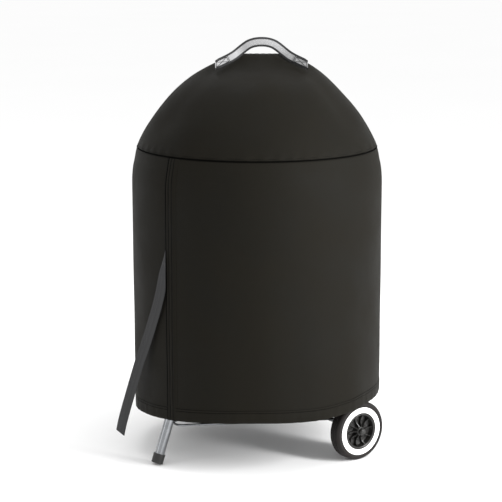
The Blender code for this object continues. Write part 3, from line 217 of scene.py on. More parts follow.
def around(count):
    """Angles spread evenly round a full circle."""
    return np.arange(count) * (2 * math.pi / count)


def turned(profile, steps=96, matrix=None, first_pole=False, last_pole=False):
    """A profile of (radius, height) carried round the z axis: (r cos a, r sin a, h)."""
    profile = np.asarray(profile, float)
    a = around(steps)
    radius, height = profile[:, 0][:, None], profile[:, 1][:, None]
    points = np.stack([radius * np.cos(a), radius * np.sin(a), height + 0 * a], axis=-1)
    run = np.concatenate([[0], np.cumsum(np.linalg.norm(np.diff(profile, axis=0), axis=1))])
    u = np.linspace(0, 2 * math.pi, steps + 1) * profile[:, 0].max()
    uv = np.stack(np.meshgrid(u, run), axis=-1)
    if matrix is not None:
        points = moved(points, matrix)
    return patch(points, True, first_pole, last_pole, uv)


def softened(corners, radius, steps=4, closed=False):
    """A line through (radius, height) corners, each swapped for a quadratic arc between points set back from it."""
    corners = np.asarray(corners, float)
    count = len(corners)
    line = []
    for i in range(count):
        if not closed and i in (0, count - 1):
            line.append(corners[i])
            continue
        here, before, after = corners[i], corners[i - 1], corners[(i + 1) % count]
        back, on = before - here, after - here
        step = min(radius, 0.45 * np.linalg.norm(back), 0.45 * np.linalg.norm(on))
        start, end = here + unit(back) * step, here + unit(on) * step
        t = np.linspace(0, 1, steps + 1)[:, None]
        line.extend((1 - t) ** 2 * start + 2 * t * (1 - t) * here + t**2 * end)
    if closed:
        line.append(line[0])
    return np.array(line)


def tube(path, radius, sides=12, closed=False, ends=True):
    """A circle carried along a path: p + r (n cos b + m sin b), with n and m square to the path."""
    path = np.asarray(path, float)
    if closed:
        ahead, behind = np.roll(path, -1, axis=0), np.roll(path, 1, axis=0)
    else:
        ahead = np.concatenate([path[1:], path[-1:]])
        behind = np.concatenate([path[:1], path[:-1]])
    along = unit(ahead - behind)
    spread = np.abs(along).max(axis=0)
    keep = np.zeros(3)
    keep[np.argmin(spread)] = 1.0
    normal = unit(np.cross(along, keep))
    second = np.cross(along, normal)
    b = around(sides)
    radius = np.broadcast_to(radius, len(path))[:, None, None]
    ring = normal[:, None] * np.cos(b)[None, :, None] + second[:, None] * np.sin(b)[None, :, None]
    points = path[:, None] + radius * ring
    run = np.concatenate([[0], np.cumsum(np.linalg.norm(np.diff(path, axis=0), axis=1))])
    if closed:
        points = np.concatenate([points, points[:1]])
        run = np.append(run, run[-1] + np.linalg.norm(path[0] - path[-1]))
    uv = np.stack(np.meshgrid(np.linspace(0, 1, sides + 1), run), axis=-1)
    poles = ends and not closed
    return patch(points, True, poles, poles, uv)


def curve_through(points, count):
    """A smooth line through points: Catmull-Rom between each pair, then resampled to even steps."""
    points = np.asarray(points, float)
    padded = np.concatenate([[2 * points[0] - points[1]], points, [2 * points[-1] - points[-2]]])
    t = np.linspace(0, 1, 24, endpoint=False)[:, None]
    a, b, c, d = (padded[i:len(points) - 1 + i][:, None] for i in range(4))
    line = b + 0.5 * t * (c - a + t * (2 * a - 5 * b + 4 * c - d + t * (3 * (b - c) + d - a)))
    line = np.concatenate([line.reshape(-1, points.shape[1]), points[-1:]])
    run = np.concatenate([[0], np.cumsum(np.linalg.norm(np.diff(line, axis=0), axis=1))])
    even = np.linspace(0, run[-1], count)
    return np.stack([np.interp(even, run, line[:, k]) for k in range(points.shape[1])], axis=-1)


def stitches(path, outward, pitch=STITCH_PITCH, share=0.68, radius=0.00042):
    """Thread laid along a path: small spindles, each a share of the pitch long and half sunk in the cloth."""
    path, outward = np.asarray(path, float), np.asarray(outward, float)
    run = np.concatenate([[0], np.cumsum(np.linalg.norm(np.diff(path, axis=0), axis=1))])
    count = max(2, int(run[-1] / pitch))
    at = (np.arange(count) + 0.5) * run[-1] / count
    half = share * run[-1] / count / 2
    place = [np.stack([np.interp(at + s, run, path[:, k]) for k in range(3)], -1) for s in (-half, 0, half)]
    out = unit(np.stack([np.interp(at, run, outward[:, k]) for k in range(3)], -1))
    along = unit(place[2] - place[0])
    side = np.cross(out, along)
    share_along = np.array([-1.0, -0.8, 0.0, 0.8, 1.0])
    size = np.array([0.25, 0.85, 1.0, 0.85, 0.25]) * radius
    b = around(6)
    middle = place[1][:, None, None] + along[:, None, None] * (share_along * half)[None, :, None, None]
    ring = side[:, None, None] * np.cos(b)[None, None, :, None] + out[:, None, None] * np.sin(b)[None, None, :, None]
    points = middle + ring * size[None, :, None, None]
    parts = []
    base = patch(points[0], True, True, True)
    size_of_one = len(base[0])
    tips = np.stack([points[:, 0].mean(axis=1), points[:, -1].mean(axis=1)], axis=1)
    vertices = np.concatenate([points.reshape(count, -1, 3), tips], axis=1).reshape(-1, 3)
    shift = (np.arange(count) * size_of_one)[:, None, None]
    for group, uv in zip(base[1], base[2]):
        whole = (group[None] + shift).reshape(-1, group.shape[1])
        parts.append((whole, np.tile(uv, (count, 1, 1))))
    return vertices, [p[0] for p in parts], [p[1] for p in parts]


# ---- finishes -----------------------------------------------------------------------
def linear(code, strength=1.0):
    """sRGB hex to linear: c / 12.92 below 0.04045, else ((c + 0.055) / 1.055)^2.4."""
    parts = [int(code[i:i + 2], 16) / 255 for i in (1, 3, 5)]
    parts = [c / 12.92 if c <= 0.04045 else ((c + 0.055) / 1.055) ** 2.4 for c in parts]
    return (*[c * strength for c in parts], 1.0)


def add(tree, kind, inputs=None, **settings):
    """Adds a node. A plain value is set on its socket, and a socket is linked to it."""
    made = tree.nodes.new(kind)
    for key, value in settings.items():
        setattr(made, key, value)
    for key, value in (inputs or {}).items():
        if isinstance(value, bpy.types.NodeSocket):
            tree.links.new(value, made.inputs[key])
        else:
            made.inputs[key].default_value = value
    return made


def finish_named(name, **values):
    """A material with one Principled shader, and the tree to add its detail to."""
    look = bpy.data.materials.new(name)
    look.use_nodes = True
    tree = look.node_tree
    shader = tree.nodes["Principled BSDF"]
    for key, value in values.items():
        shader.inputs[key.replace("_", " ")].default_value = value
    return look, tree, shader


def blend_of(tree, share, first, second):
    """A colour between two hex codes."""
    mix = add(tree, "ShaderNodeMix", data_type="RGBA")
    tree.links.new(share, mix.inputs[0])
    for number, value in ((6, first), (7, second)):
        if isinstance(value, str):
            mix.inputs[number].default_value = linear(value)
        else:
            tree.links.new(value, mix.inputs[number])
    return mix.outputs[2]


def ranged(tree, value, low, high, from_low=0.0, from_high=1.0):
    """A value stretched in a straight line from one range to another."""
    return add(
        tree, "ShaderNodeMapRange",
        {"Value": value, "From Min": from_low, "From Max": from_high, "To Min": low, "To Max": high},
    ).outputs[0]


def bump_on(tree, shader, height, distance, strength=1.0, under=None):
    """A bump from a height field, laid over an earlier bump where one is given."""
    inputs = {"Height": height, "Distance": distance, "Strength": strength}
    if under is not None:
        inputs["Normal"] = under
    bump = add(tree, "ShaderNodeBump", inputs)
    tree.links.new(bump.outputs[0], shader.inputs["Normal"])
    return bump.outputs[0]


def object_noise(tree, per_metre, detail=3.0, stretch=None):
    """Noise in object space, so many cells to the metre."""
    where = add(tree, "ShaderNodeTexCoord").outputs["Object"]
    if stretch is not None:
        where = add(tree, "ShaderNodeMapping", {"Vector": where, "Scale": stretch}).outputs[0]
    return add(tree, "ShaderNodeTexNoise", {"Vector": where, "Scale": per_metre, "Detail": detail}).outputs["Fac"]


def surface_noise(tree, stretch, detail=3.0):
    """Noise on a piece's own map, stretched along each of its directions."""
    where = add(tree, "ShaderNodeUVMap", uv_map="surface").outputs[0]
    where = add(tree, "ShaderNodeMapping", {"Vector": where, "Scale": stretch}).outputs[0]
    return add(tree, "ShaderNodeTexNoise", {"Vector": where, "Scale": 1.0, "Detail": detail}).outputs["Fac"]


def weave_height(tree, pitch):
    """Plain weave: on a checker of the thread pitch, warp threads show on one colour and weft threads on the other."""
    where = add(tree, "ShaderNodeUVMap", uv_map="surface").outputs[0]
    per_metre = 0.31416 / pitch
    warp = add(tree, "ShaderNodeTexWave", {"Vector": where, "Scale": per_metre}, bands_direction="X").outputs["Fac"]
    weft = add(tree, "ShaderNodeTexWave", {"Vector": where, "Scale": per_metre}, bands_direction="Y").outputs["Fac"]
    over = add(tree, "ShaderNodeTexChecker", {"Vector": where, "Scale": 1 / pitch}).outputs["Fac"]
    mix = add(tree, "ShaderNodeMix", data_type="FLOAT")
    tree.links.new(over, mix.inputs[0])
    tree.links.new(warp, mix.inputs[2])
    tree.links.new(weft, mix.inputs[3])
    return mix.outputs[0]


def coated_polyester():
    # Black polyester, plain woven and coated: nearly matt, and it hardly shines. Threads are 0.45 mm apart
    # and are drawn 0.9 mm apart, because finer ones would not show.
    look, tree, shader = finish_named(
        "coated polyester cloth", Roughness=0.60, IOR=1.45, Specular_IOR_Level=0.085,
    )
    patches = object_noise(tree, 7.0, 4.0)
    fine = surface_noise(tree, (420, 420, 1), 2.0)
    # Painted shade: where the "pressed" attribute is high (seams, stitch grooves, the hem's top edge, the flap's edge),
    # the colour goes to near black #010101 to stand for shade.
    pressed = add(tree, "ShaderNodeAttribute", attribute_name="pressed").outputs["Fac"]
    cloth = blend_of(tree, ranged(tree, patches, 0.0, 1.0, 0.3, 0.7), "#100f0b", "#14120d")
    cloth = blend_of(tree, ranged(tree, fine, 0.0, 0.35), cloth, "#191712")
    cloth = blend_of(tree, pressed, cloth, "#010101")
    tree.links.new(cloth, shader.inputs["Base Color"])
    tree.links.new(ranged(tree, patches, 0.56, 0.70, 0.3, 0.7), shader.inputs["Roughness"])
    soft = bump_on(tree, shader, object_noise(tree, 16.0, 2.0), 0.0016, 0.35)
    bump_on(tree, shader, weave_height(tree, 0.0009), 0.00012, 0.6, soft)
    return look


def webbing(name, middle, border, edge_share, rib=0.0021):
    """Flat woven webbing: chevron ribs across it, and borders of another yarn along both edges."""
    look, tree, shader = finish_named(name, Roughness=0.62, IOR=1.5, Specular_IOR_Level=0.30, Sheen_Weight=0.15)
    where = add(tree, "ShaderNodeUVMap", uv_map="surface").outputs[0]
    split = add(tree, "ShaderNodeSeparateXYZ", {"Vector": where})
    from_middle = add(tree, "ShaderNodeMath", {0: split.outputs[1], 1: 0.0}, operation="SUBTRACT").outputs[0]
    from_middle = add(tree, "ShaderNodeMath", {0: from_middle}, operation="ABSOLUTE").outputs[0]
    on_border = ranged(tree, from_middle, 0.0, 1.0, edge_share - 0.0006, edge_share + 0.0006)
    slant = add(tree, "ShaderNodeMath", {0: from_middle, 1: 0.8}, operation="MULTIPLY").outputs[0]
    slanted = add(tree, "ShaderNodeMath", {0: split.outputs[0], 1: slant}, operation="ADD").outputs[0]
    along = add(tree, "ShaderNodeCombineXYZ", {"X": slanted}).outputs[0]
    ribs = add(tree, "ShaderNodeTexWave", {"Vector": along, "Scale": 0.31416 / rib}, bands_direction="X").outputs["Fac"]
    yarn = surface_noise(tree, (260, 1500, 1), 2.0)
    light = blend_of(tree, ranged(tree, ribs, 0.0, 0.55), middle[0], middle[1])
    light = blend_of(tree, ranged(tree, yarn, 0.0, 0.4), light, middle[1])
    colour = blend_of(tree, on_border, light, border)
    tree.links.new(colour, shader.inputs["Base Color"])
    bump_on(tree, shader, ribs, 0.00035, 0.7)
    return look


def sewing_thread():
    # Bonded polyester thread: black, with the slight shine of a twisted yarn.
    look, tree, shader = finish_named("sewing thread", Roughness=0.7, Specular_IOR_Level=0.06)
    twist = object_noise(tree, 900.0, 2.0)
    tree.links.new(blend_of(tree, twist, "#030303", "#0a0a09"), shader.inputs["Base Color"])
    bump_on(tree, shader, twist, 0.0002, 0.4)
    return look


def piping_cord_painted_shadow():
    # Filled polyester cord in the seams, dead black and barely glossy: partly the cord's own black, partly painted
    # shadow standing in for the dark lines along the seams.
    look, tree, shader = finish_named("piping cord and painted shadow", Roughness=0.95, Specular_IOR_Level=0.02)
    twist = object_noise(tree, 700.0, 2.0)
    tree.links.new(blend_of(tree, twist, "#020202", "#060605"), shader.inputs["Base Color"])
    bump_on(tree, shader, twist, 0.0002, 0.4)
    return look


def porcelain_enamel():
    # Black glass fused on steel: deep gloss with a faint orange peel from the firing.
    look, tree, shader = finish_named(
        "porcelain enamel", Roughness=0.09, IOR=1.52, Specular_IOR_Level=0.36, Coat_Weight=0.15, Coat_Roughness=0.04
    )
    cloud = object_noise(tree, 9.0, 4.0)
    tree.links.new(blend_of(tree, cloud, "#040404", "#090909"), shader.inputs["Base Color"])
    tree.links.new(ranged(tree, cloud, 0.06, 0.15, 0.3, 0.7), shader.inputs["Roughness"])
    bump_on(tree, shader, object_noise(tree, 260.0, 2.0), 0.0002, 0.10)
    return look


def moulded_nylon():
    # Glass-filled nylon: matt black with the fine spark-eroded grain of its mould.
    look, tree, shader = finish_named("moulded nylon", Roughness=0.46, IOR=1.53, Specular_IOR_Level=0.4)
    grain = object_noise(tree, 1400.0, 2.0)
    wear = object_noise(tree, 30.0, 4.0)
    tree.links.new(blend_of(tree, wear, "#131312", "#1d1d1c"), shader.inputs["Base Color"])
    tree.links.new(ranged(tree, wear, 0.40, 0.55, 0.3, 0.7), shader.inputs["Roughness"])
    bump_on(tree, shader, grain, 0.0003, 0.25)
    return look


def hub_plastic():
    # Polypropylene, injection moulded: dark, slightly waxy gloss on the ribs.
    look, tree, shader = finish_named("moulded hub plastic", Roughness=0.34, IOR=1.49, Specular_IOR_Level=0.5)
    flow = object_noise(tree, 60.0, 3.0)
    tree.links.new(blend_of(tree, flow, "#11100f", "#1c1b19"), shader.inputs["Base Color"])
    tree.links.new(ranged(tree, flow, 0.28, 0.44, 0.3, 0.7), shader.inputs["Roughness"])
    bump_on(tree, shader, object_noise(tree, 900.0, 2.0), 0.0002, 0.15)
    return look


def tyre_rubber():
    # Hard moulded rubber: brown-black, matt, with a dull bloom.
    look, tree, shader = finish_named("moulded tyre rubber", Roughness=0.50, IOR=1.52, Specular_IOR_Level=0.26)
    bloom = object_noise(tree, 45.0, 5.0)
    tree.links.new(
        blend_of(tree, ranged(tree, bloom, 0, 1, 0.35, 0.7), "#090605", "#140d0a"), shader.inputs["Base Color"]
    )
    tree.links.new(ranged(tree, bloom, 0.48, 0.68, 0.3, 0.7), shader.inputs["Roughness"])
    bump_on(tree, shader, object_noise(tree, 1100.0, 3.0), 0.0003, 0.3)
    return look


def white_sidewall():
    # White thermoplastic ring: clean, satin, with the least trace of dust.
    look, tree, shader = finish_named("white moulded ring", Roughness=0.38, IOR=1.49)
    dust = object_noise(tree, 50.0, 5.0)
    tree.links.new(
        blend_of(tree, ranged(tree, dust, 0, 1, 0.45, 0.8), "#fbfbfa", "#eeede9"), shader.inputs["Base Color"]
    )
    bump_on(tree, shader, object_noise(tree, 700.0, 2.0), 0.0002, 0.08)
    return look


def metal(name, dark, light, rough, stretch, per_metre=1.0, on_surface=False, bump=0.00006):
    """A bare or plated metal whose fine lines are noise drawn out along the way that it was worked."""
    look, tree, shader = finish_named(name, Metallic=1.0, Roughness=rough)
    lines = surface_noise(tree, stretch, 3.0) if on_surface else object_noise(tree, per_metre, 3.0, stretch)
    tree.links.new(blend_of(tree, lines, dark, light), shader.inputs["Base Color"])
    tree.links.new(ranged(tree, lines, rough * 0.75, rough * 1.35, 0.3, 0.7), shader.inputs["Roughness"])
    bump_on(tree, shader, lines, bump, 0.5)
    return look


def studio_floor():
    """Matt white paint with a barely uneven tone."""
    look, tree, shader = finish_named("studio floor paint", Roughness=0.9, Specular_IOR_Level=0.0)
    tone = object_noise(tree, 0.6, 2.0)
    tree.links.new(blend_of(tree, tone, "#fbfbfb", "#fdfdfd"), shader.inputs["Base Color"])
    return look


CLOTH = coated_polyester()
HANDLE_WEBBING = webbing("grey webbing with dark borders", ("#868687", "#b4b4b5"), "#1c1c1d", 0.0068)
STRAP_WEBBING = webbing("dark webbing", ("#0a0a0c", "#131316"), "#0c0c0e", 0.0145)
THREAD = sewing_thread()
PIPING_AND_PAINTED_SHADOW = piping_cord_painted_shadow()
ENAMEL = porcelain_enamel()
NYLON = moulded_nylon()
HUB_PLASTIC = hub_plastic()
RUBBER = tyre_rubber()
WHITE_RING = white_sidewall()
DRAWN_TUBE = metal("drawn aluminium tube", "#7c7e81", "#9c9ea1", 0.16, (3, 60, 1), on_surface=True)
PRESSED_SHEET = metal("pressed aluminium sheet", "#b4b6b9", "#d5d7d9", 0.33, (30, 900, 1), on_surface=True)
PLATED_WIRE = metal("nickel plated wire", "#75777a", "#9b9da0", 0.22, None, 160.0)
PLAIN_STEEL = metal("plain rolled steel", "#77787a", "#a2a3a5", 0.38, (220, 220, 24))


# ---- camera, light and floor ----------------------------------------------------------
def set_studio():
    """Camera 4 m out in front of the right-hand wheel side, a large lamp on its right, and a white surround."""
    scene = bpy.context.scene
    lens = bpy.data.cameras.new("studio camera")
    lens.lens = 112.7
    lens.shift_x = -0.012
    lens.clip_end = 200.0
    camera = bpy.data.objects.new("studio camera", lens)
    camera.location = (-2.351, -3.236, 1.323)
    camera.rotation_euler = (math.radians(78.6), 0.0, math.radians(COVER_TURN))
    scene.collection.objects.link(camera)
    scene.camera = camera

    world = bpy.data.worlds.new("white studio")
    world.use_nodes = True
    world.node_tree.nodes["Background"].inputs["Color"].default_value = (1.0, 1.0, 1.0, 1.0)
    world.node_tree.nodes["Background"].inputs["Strength"].default_value = 1.0
    scene.world = world
    scene.view_settings.view_transform = "Standard"

    # Places are in the camera's own terms: right of it, towards it and up, from the kettle's middle.
    lamps = (
        ("tall lamp right", (2.6, -1.6, 1.5), (0.6, 2.2), 150.0),
        ("tall lamp left", (-2.4, -1.2, 1.4), (0.5, 2.0), 6.0),
        ("overhead lamp", (0.2, 0.4, 3.2), (2.4, 2.4), 30.0),
    )
    for name, place, size, power in lamps:
        light = bpy.data.lights.new(name, "AREA")
        light.shape = "RECTANGLE"
        light.size, light.size_y = size
        light.energy = power
        lamp = bpy.data.objects.new(name, light)
        spot = Vector(turned_to_frame(place))
        lamp.location = spot
        lamp.rotation_euler = (Vector((0, 0, 0.6)) - spot).to_track_quat("-Z", "Y").to_euler()
        scene.collection.objects.link(lamp)

    reach = 60.0
    floor = bpy.data.meshes.new("studio floor")
    floor.from_pydata(
        [(-reach, -reach, 0), (reach, -reach, 0), (reach, reach, 0), (-reach, reach, 0)], [], [(0, 1, 2, 3)]
    )
    floor.materials.append(studio_floor())
    ground = bpy.data.objects.new("studio floor", floor)
    scene.collection.objects.link(ground)


# ---- the loose strap --------------------------------------------------------------------
def strap_route():
    """The strap's middle line: out of the side seam, down and to the left in the seam's tangent plane."""
    steps = np.array(STRAP_STEPS)
    turn = math.radians(STRAP_AZIMUTH)
    outward = np.array([math.cos(turn), math.sin(turn), 0.0])
    leftward = np.array([math.sin(turn), -math.cos(turn), 0.0])
    line = curve_through(steps, 60)
    return outward * STRAP_OUT + leftward * line[:, :1] + np.array([0, 0, 1.0]) * line[:, 1:], outward


def make_strap():
    """A flat band: across the band s in -1..1, p(t) + s w/2 side(t), thickened by a rounded closed section.
    Its upper end comes to a point where the seam's folded edge covers its right side."""
    route, outward = strap_route()
    turn = math.radians(STRAP_AZIMUTH)
    leftward = np.array([math.sin(turn), -math.cos(turn), 0.0])
    along = unit(np.gradient(route, axis=0))
    side = unit(np.cross(along, outward))
    t = np.linspace(0, 1, len(route))
    # The band cups a little and its free end turns, as webbing does that was folded for years.
    cup = 0.0012 * np.sin(math.pi * t)
    ripple = (0.0012 * np.sin(9 * t + 0.6) + 0.0006 * np.sin(23 * t)) * t
    s = np.concatenate([np.linspace(1, -1, 11), [-1.0], np.linspace(-1, 1, 11), [1.0]])
    layer = np.concatenate([np.full(11, 0.5), [0.0], np.full(11, -0.5), [0.0]])
    edge = np.where(np.abs(s) > 0.99, 0.55, 1.0)
    depth = layer * STRAP_THICK * edge
    spread = side[:, None] * (s * STRAP_WIDTH / 2)[None, :, None]
    points = route[:, None] + spread
    past_edge = np.minimum(points @ leftward + 0.0005, 0.0)
    points = points - leftward * past_edge[..., None] * 0.999
    points = points + outward * (depth[None, :] + (cup[:, None] * (s**2)[None, :]) + ripple[:, None])[..., None]
    run = np.concatenate([[0], np.cumsum(np.linalg.norm(np.diff(route, axis=0), axis=1))])
    across = np.append(s, s[0]) * STRAP_WIDTH / 2
    uv = np.stack(np.broadcast_arrays(run[:, None], across[None, :]), axis=-1)
    points = turned_to_frame(points)
    free = int(np.argmax(np.linalg.norm(points[:, 0] - points[:, 10], axis=1) > 0.5 * STRAP_WIDTH))
    tip = piece(
        "loose_strap_sewn_end", [patch(points[:free + 1], True, True, True, uv[:free + 1])], STRAP_WEBBING, "cover",
    )
    band = piece(
        "loose_strap", [patch(points[free:], True, True, True, uv[free:])], STRAP_WEBBING, "cover",
        ["cover_strap"]
    )


# ---- cover --------------------------------------------------------------------------------
# How far the carry handle's middle line drops at distances from its middle, smoothed through the steps
CARRY_STEPS = np.array((
    (-0.0294, 0.0055), (-0.015, 0.0012), (0.0, 0.0), (0.015, 0.0012), (0.0294, 0.0055), (0.040, 0.0120),
    (0.049, 0.0190),
    (0.0588, 0.0268), (0.0686, 0.0338), (0.0823, 0.0412), (0.100, 0.0492), (0.118, 0.0572),
))
CARRY_PLACES, CARRY_DROPS = curve_through(CARRY_STEPS, 160)[30:].T


def hem_height(azimuth):
    """Height of the hem's edge: a closed Catmull-Rom curve through the twelve heights, from -180 degrees on."""
    count = len(HEM_HEIGHTS)
    place = (np.asarray(azimuth, float) + math.pi) / (2 * math.pi) * count
    i = np.floor(place).astype(int)
    t = place - i
    a, b, c, d = (HEM_HEIGHTS[(i + k) % count] for k in (-1, 0, 1, 2))
    return b + 0.5 * t * (c - a + t * (2 * a - 5 * b + 4 * c - d + t * (3 * (b - c) + d - a)))


def skirt_radius(height):
    """A cylinder that draws in with the square of the way up its shoulder."""
    share = np.clip((np.asarray(height, float) - SEAM_HEIGHT + SHOULDER) / SHOULDER, 0.0, 1.0)
    return COVER_RADIUS - (COVER_RADIUS - SEAM_RADIUS) * share**2


def side_relief(azimuth, height):
    """How far the hung cloth stands out of its cylinder: a few slow upright waves that grow towards the hem."""
    fall = smooth_step(0.76, 0.20, height)
    waves = (
        0.0008 * np.sin(5 * azimuth + 0.4)
        + 0.0007 * np.sin(9 * azimuth + 2.0 + 1.5 * height)
        + 0.0004 * np.sin(17 * azimuth + 5.0 * height)
    )
    level = 0.0005 * np.sin(26 * height + 2 * np.cos(2 * azimuth + 0.7))
    pull = -0.0016 * bump_at(height, SEAM_HEIGHT, 0.0028) - 0.0009 * bump_at(height, SEAM_HEIGHT - 0.030, 0.012)
    return waves * fall + level * fall * 0.8 + pull


def dome_point(share, azimuth):
    """The dome at a share of its rise: a circle at the seam that narrows, front to back, into a ridge."""
    along = SEAM_RADIUS * np.sqrt(np.maximum(0.0, 1 - share**DOME_SHARPNESS))
    step = 1 / (1 + np.exp(-(share - RIDGE_FROM) / RIDGE_SOFTNESS))
    deep = along * (1 - RIDGE_NARROWS * step)
    lean = np.clip((share - 0.5) / 0.45, 0.0, 1.0)
    shift = TOP_LEAN * lean * lean * (3 - 2 * lean)
    height = SEAM_HEIGHT + DOME_RISE * share
    return np.stack(np.broadcast_arrays(shift + along * np.cos(azimuth), deep * np.sin(azimuth), height), axis=-1)


def grid_normals(points):
    """Unit directions square to a closed ring grid: column step x row step."""
    across = np.roll(points, -1, axis=1) - np.roll(points, 1, axis=1)
    up = np.gradient(points, axis=0)
    return unit(np.cross(across, up))


def mark_painted_seam_shade(obj, pressed):
    """Stores painted seam shade, 0 to 1, for its colour: where a seam pinches the cloth, or a fold or edge shades it,
    the colour is darkened.
    """
    values = np.zeros(len(obj.data.vertices), np.float32)
    values[:pressed.size] = np.asarray(pressed, np.float32).ravel()
    obj.data.attributes.new("pressed", "FLOAT", "POINT").data.foreach_set("value", values)


def cloth_uv(columns, rows, radius):
    """Metres along the cloth: u round it, v up it."""
    u = np.linspace(0, 2 * math.pi * radius, columns + 1)
    return np.stack(np.broadcast_arrays(u[None, :], np.asarray(rows, float)[:, None]), axis=-1)


def make_dome():
    """dome_point over a fine grid, with soft valleys beside the ridge's ends and fullness above the seam."""
    columns = 320
    a = around(columns) - math.pi
    share = np.unique(np.concatenate([
        np.linspace(0, 0.02, 8), np.linspace(0.02, 0.75, 56), np.linspace(0.75, RIDGE_SHARE, 30),
    ]))
    points = dome_point(share[:, None], a[None, :])
    normals = grid_normals(points)
    s, degrees = share[:, None], np.degrees(a)[None, :]
    mid = smooth_step(0.04, 0.35, s) * (1 - smooth_step(0.72, 0.95, s))
    valleys = (
        -0.0050 * bump_at(degrees, -150 + 8 * s, 13) * mid
        - 0.0042 * bump_at(degrees, -27 - 10 * s, 12) * mid
        - 0.0040 * bump_at(degrees, 30 + 6 * s, 12) * mid
        - 0.0040 * bump_at(degrees, 152, 12) * mid
    )
    puckers = 0.0006 * np.sin(a[None, :] * 43 + 3 * np.sin(5 * a)[None, :]) * bump_at(s, 0.03, 0.045)
    slow = 0.0013 * np.sin(3 * a[None, :] + 7 * s) * mid + 0.0008 * np.sin(7 * a[None, :] - 9 * s) * mid
    groove = -0.0016 * bump_at(s * DOME_RISE, 0.0, 0.0028)
    pleats = 0.0003 * np.sin(22 * a[None, :]) * smooth_step(0.86, 0.95, s)
    points = points + normals * (valleys + puckers + slow + groove + pleats)[..., None]
    # Painted shade: the cloth's colour is darkened in the groove along the shoulder seam.
    pressed = np.broadcast_to(bump_at(s * DOME_RISE, 0.0, 0.0020), points.shape[:2])

    # The top folds over: rings shrink to the ridge's middle, round across it and sagging along it.
    rim = points[-1]
    middle = rim.mean(axis=0)
    scales = np.cos(np.linspace(0, math.pi / 2, 9))[1:-1]
    tops = middle + (rim - middle) * scales[:, None, None]
    reach = (tops[..., 0] - middle[0]) / 0.062
    tops[..., 2] = (
        rim[:, 2] + 0.0020 * np.sqrt(1 - scales**2)[:, None]
        - 0.0034 * (1 - reach**2) * (1 - scales[:, None] ** 2)
    )
    points = np.concatenate([points, tops])
    pressed = np.concatenate([pressed, np.zeros(tops.shape[:2])])
    run = np.concatenate([[0], np.cumsum(np.linalg.norm(np.diff(points[:, 0], axis=0), axis=1))])
    grid = patch(turned_to_frame(points), True, False, True, cloth_uv(columns, run, SEAM_RADIUS))
    dome = piece("cover_top_cloth", [grid], CLOTH, "cover", ["cover_dome"], 60, False)
    mark_painted_seam_shade(dome, pressed)
    thicken(dome, CLOTH_THICK)
    return dome


def make_side_cloth():
    """The skirt: radius from its height, plus side_relief, from the hem's top edge up to the shoulder seam."""
    columns = 360
    a = around(columns) - math.pi
    low = hem_height(a) + HEM_DEPTH - 0.006
    share = np.unique(np.concatenate([
        np.linspace(0, 0.05, 10), np.linspace(0.05, 0.94, 70), np.linspace(0.94, 0.985, 14),
        np.linspace(0.985, 1.0, 12),
    ]))
    height = low[None, :] + (SEAM_HEIGHT - low)[None, :] * share[:, None]
    relief = side_relief(a[None, :], height)
    radius = skirt_radius(height) + relief
    points = np.stack([radius * np.cos(a), radius * np.sin(a), height], axis=-1)
    # Painted shade and shadow: the colour is darkened in the shoulder seam's groove and in a line beside the flap's
    # folded edge, where its shadow falls.
    seam = bump_at(height, SEAM_HEIGHT, 0.0020)
    flap_edge = math.radians(FLAP_AZIMUTH) - FLAP_WIDTH / 2 / COVER_RADIUS
    flap_edge_painted_shadow = 0.9 * bump_at((a[None, :] - flap_edge) * COVER_RADIUS, -0.001, 0.0035) * np.ones_like(height)
    grid = patch(turned_to_frame(points), True, uv=cloth_uv(columns, share * 0.62, COVER_RADIUS))
    cloth = piece("cover_side_cloth", [grid], CLOTH, "cover", ["cover_skirt"], 60, False)
    mark_painted_seam_shade(cloth, np.maximum(seam, flap_edge_painted_shadow))
    thicken(cloth, CLOTH_THICK)
    return cloth


def make_hem():
    """A folded band: its section, offsets from the skirt by height up the band, is carried round the hem's curve."""
    columns = 360
    a = around(columns) - math.pi
    fold = np.linspace(0, math.pi, 9)[1:-1]
    half = HEM_THICK / 2
    inner = [(-HEM_THICK, 1.0, 0.0), (-HEM_THICK, 0.55, 0.0), (-HEM_THICK, 0.10, 0.0), (-HEM_THICK, 0.0, half)]
    under = [(-half - half * math.cos(t), 0.0, half - half * math.sin(t)) for t in fold]
    outer = [
        (0.0, 0.0, half), (0.0006, 0.10, 0.0), (0.0008, 0.35, 0.0), (0.0009, 0.70, 0.0), (0.0009, 0.78, 0.0),
        (0.0007, 0.800, 0.0), (-0.0004, 0.820, 0.0), (0.0007, 0.840, 0.0), (0.0011, 0.860, 0.0),
        (0.0010, 0.945, 0.0), (0.0010, 0.985, 0.0), (0.0005, 1.0, 0.0), (-0.0006, 1.0, 0.0),
    ]
    section = np.array(inner + under + outer + inner[:1])
    base = hem_height(a)
    height = base[None, :] + (HEM_DEPTH - 0.0003) * section[:, 1:2] + section[:, 2:3]
    relief = side_relief(a, base + HEM_DEPTH * 0.5)
    ripple = 0.0003 * np.sin(61 * a) + 0.0002 * np.sin(97 * a + 1.0)
    radius = COVER_RADIUS + section[:, :1] + relief + ripple * (section[:, 1:2] < 0.9)
    points = np.stack([radius * np.cos(a), radius * np.sin(a), height], axis=-1)
    run = np.linspace(0, 2 * HEM_DEPTH, len(section))
    grid = patch(turned_to_frame(points), True, uv=cloth_uv(columns, run, COVER_RADIUS))
    hem = piece("cover_hem_band", [grid], CLOTH, "cover", ["cover_hem"], 60, False)
    # Painted shade: the colour is darkened in the outer stitch line's groove and along the hem's folded top edge.
    stitched = bump_at(section[:, 1:2], 0.820, 0.013) * (section[:, :1] > -0.001)
    hem_top_painted_shade = bump_at(section[:, 1:2], 1.0, 0.015) * 0.8
    mark_painted_seam_shade(hem, np.broadcast_to(np.maximum(stitched, hem_top_painted_shade), points.shape[:2]))
    return hem


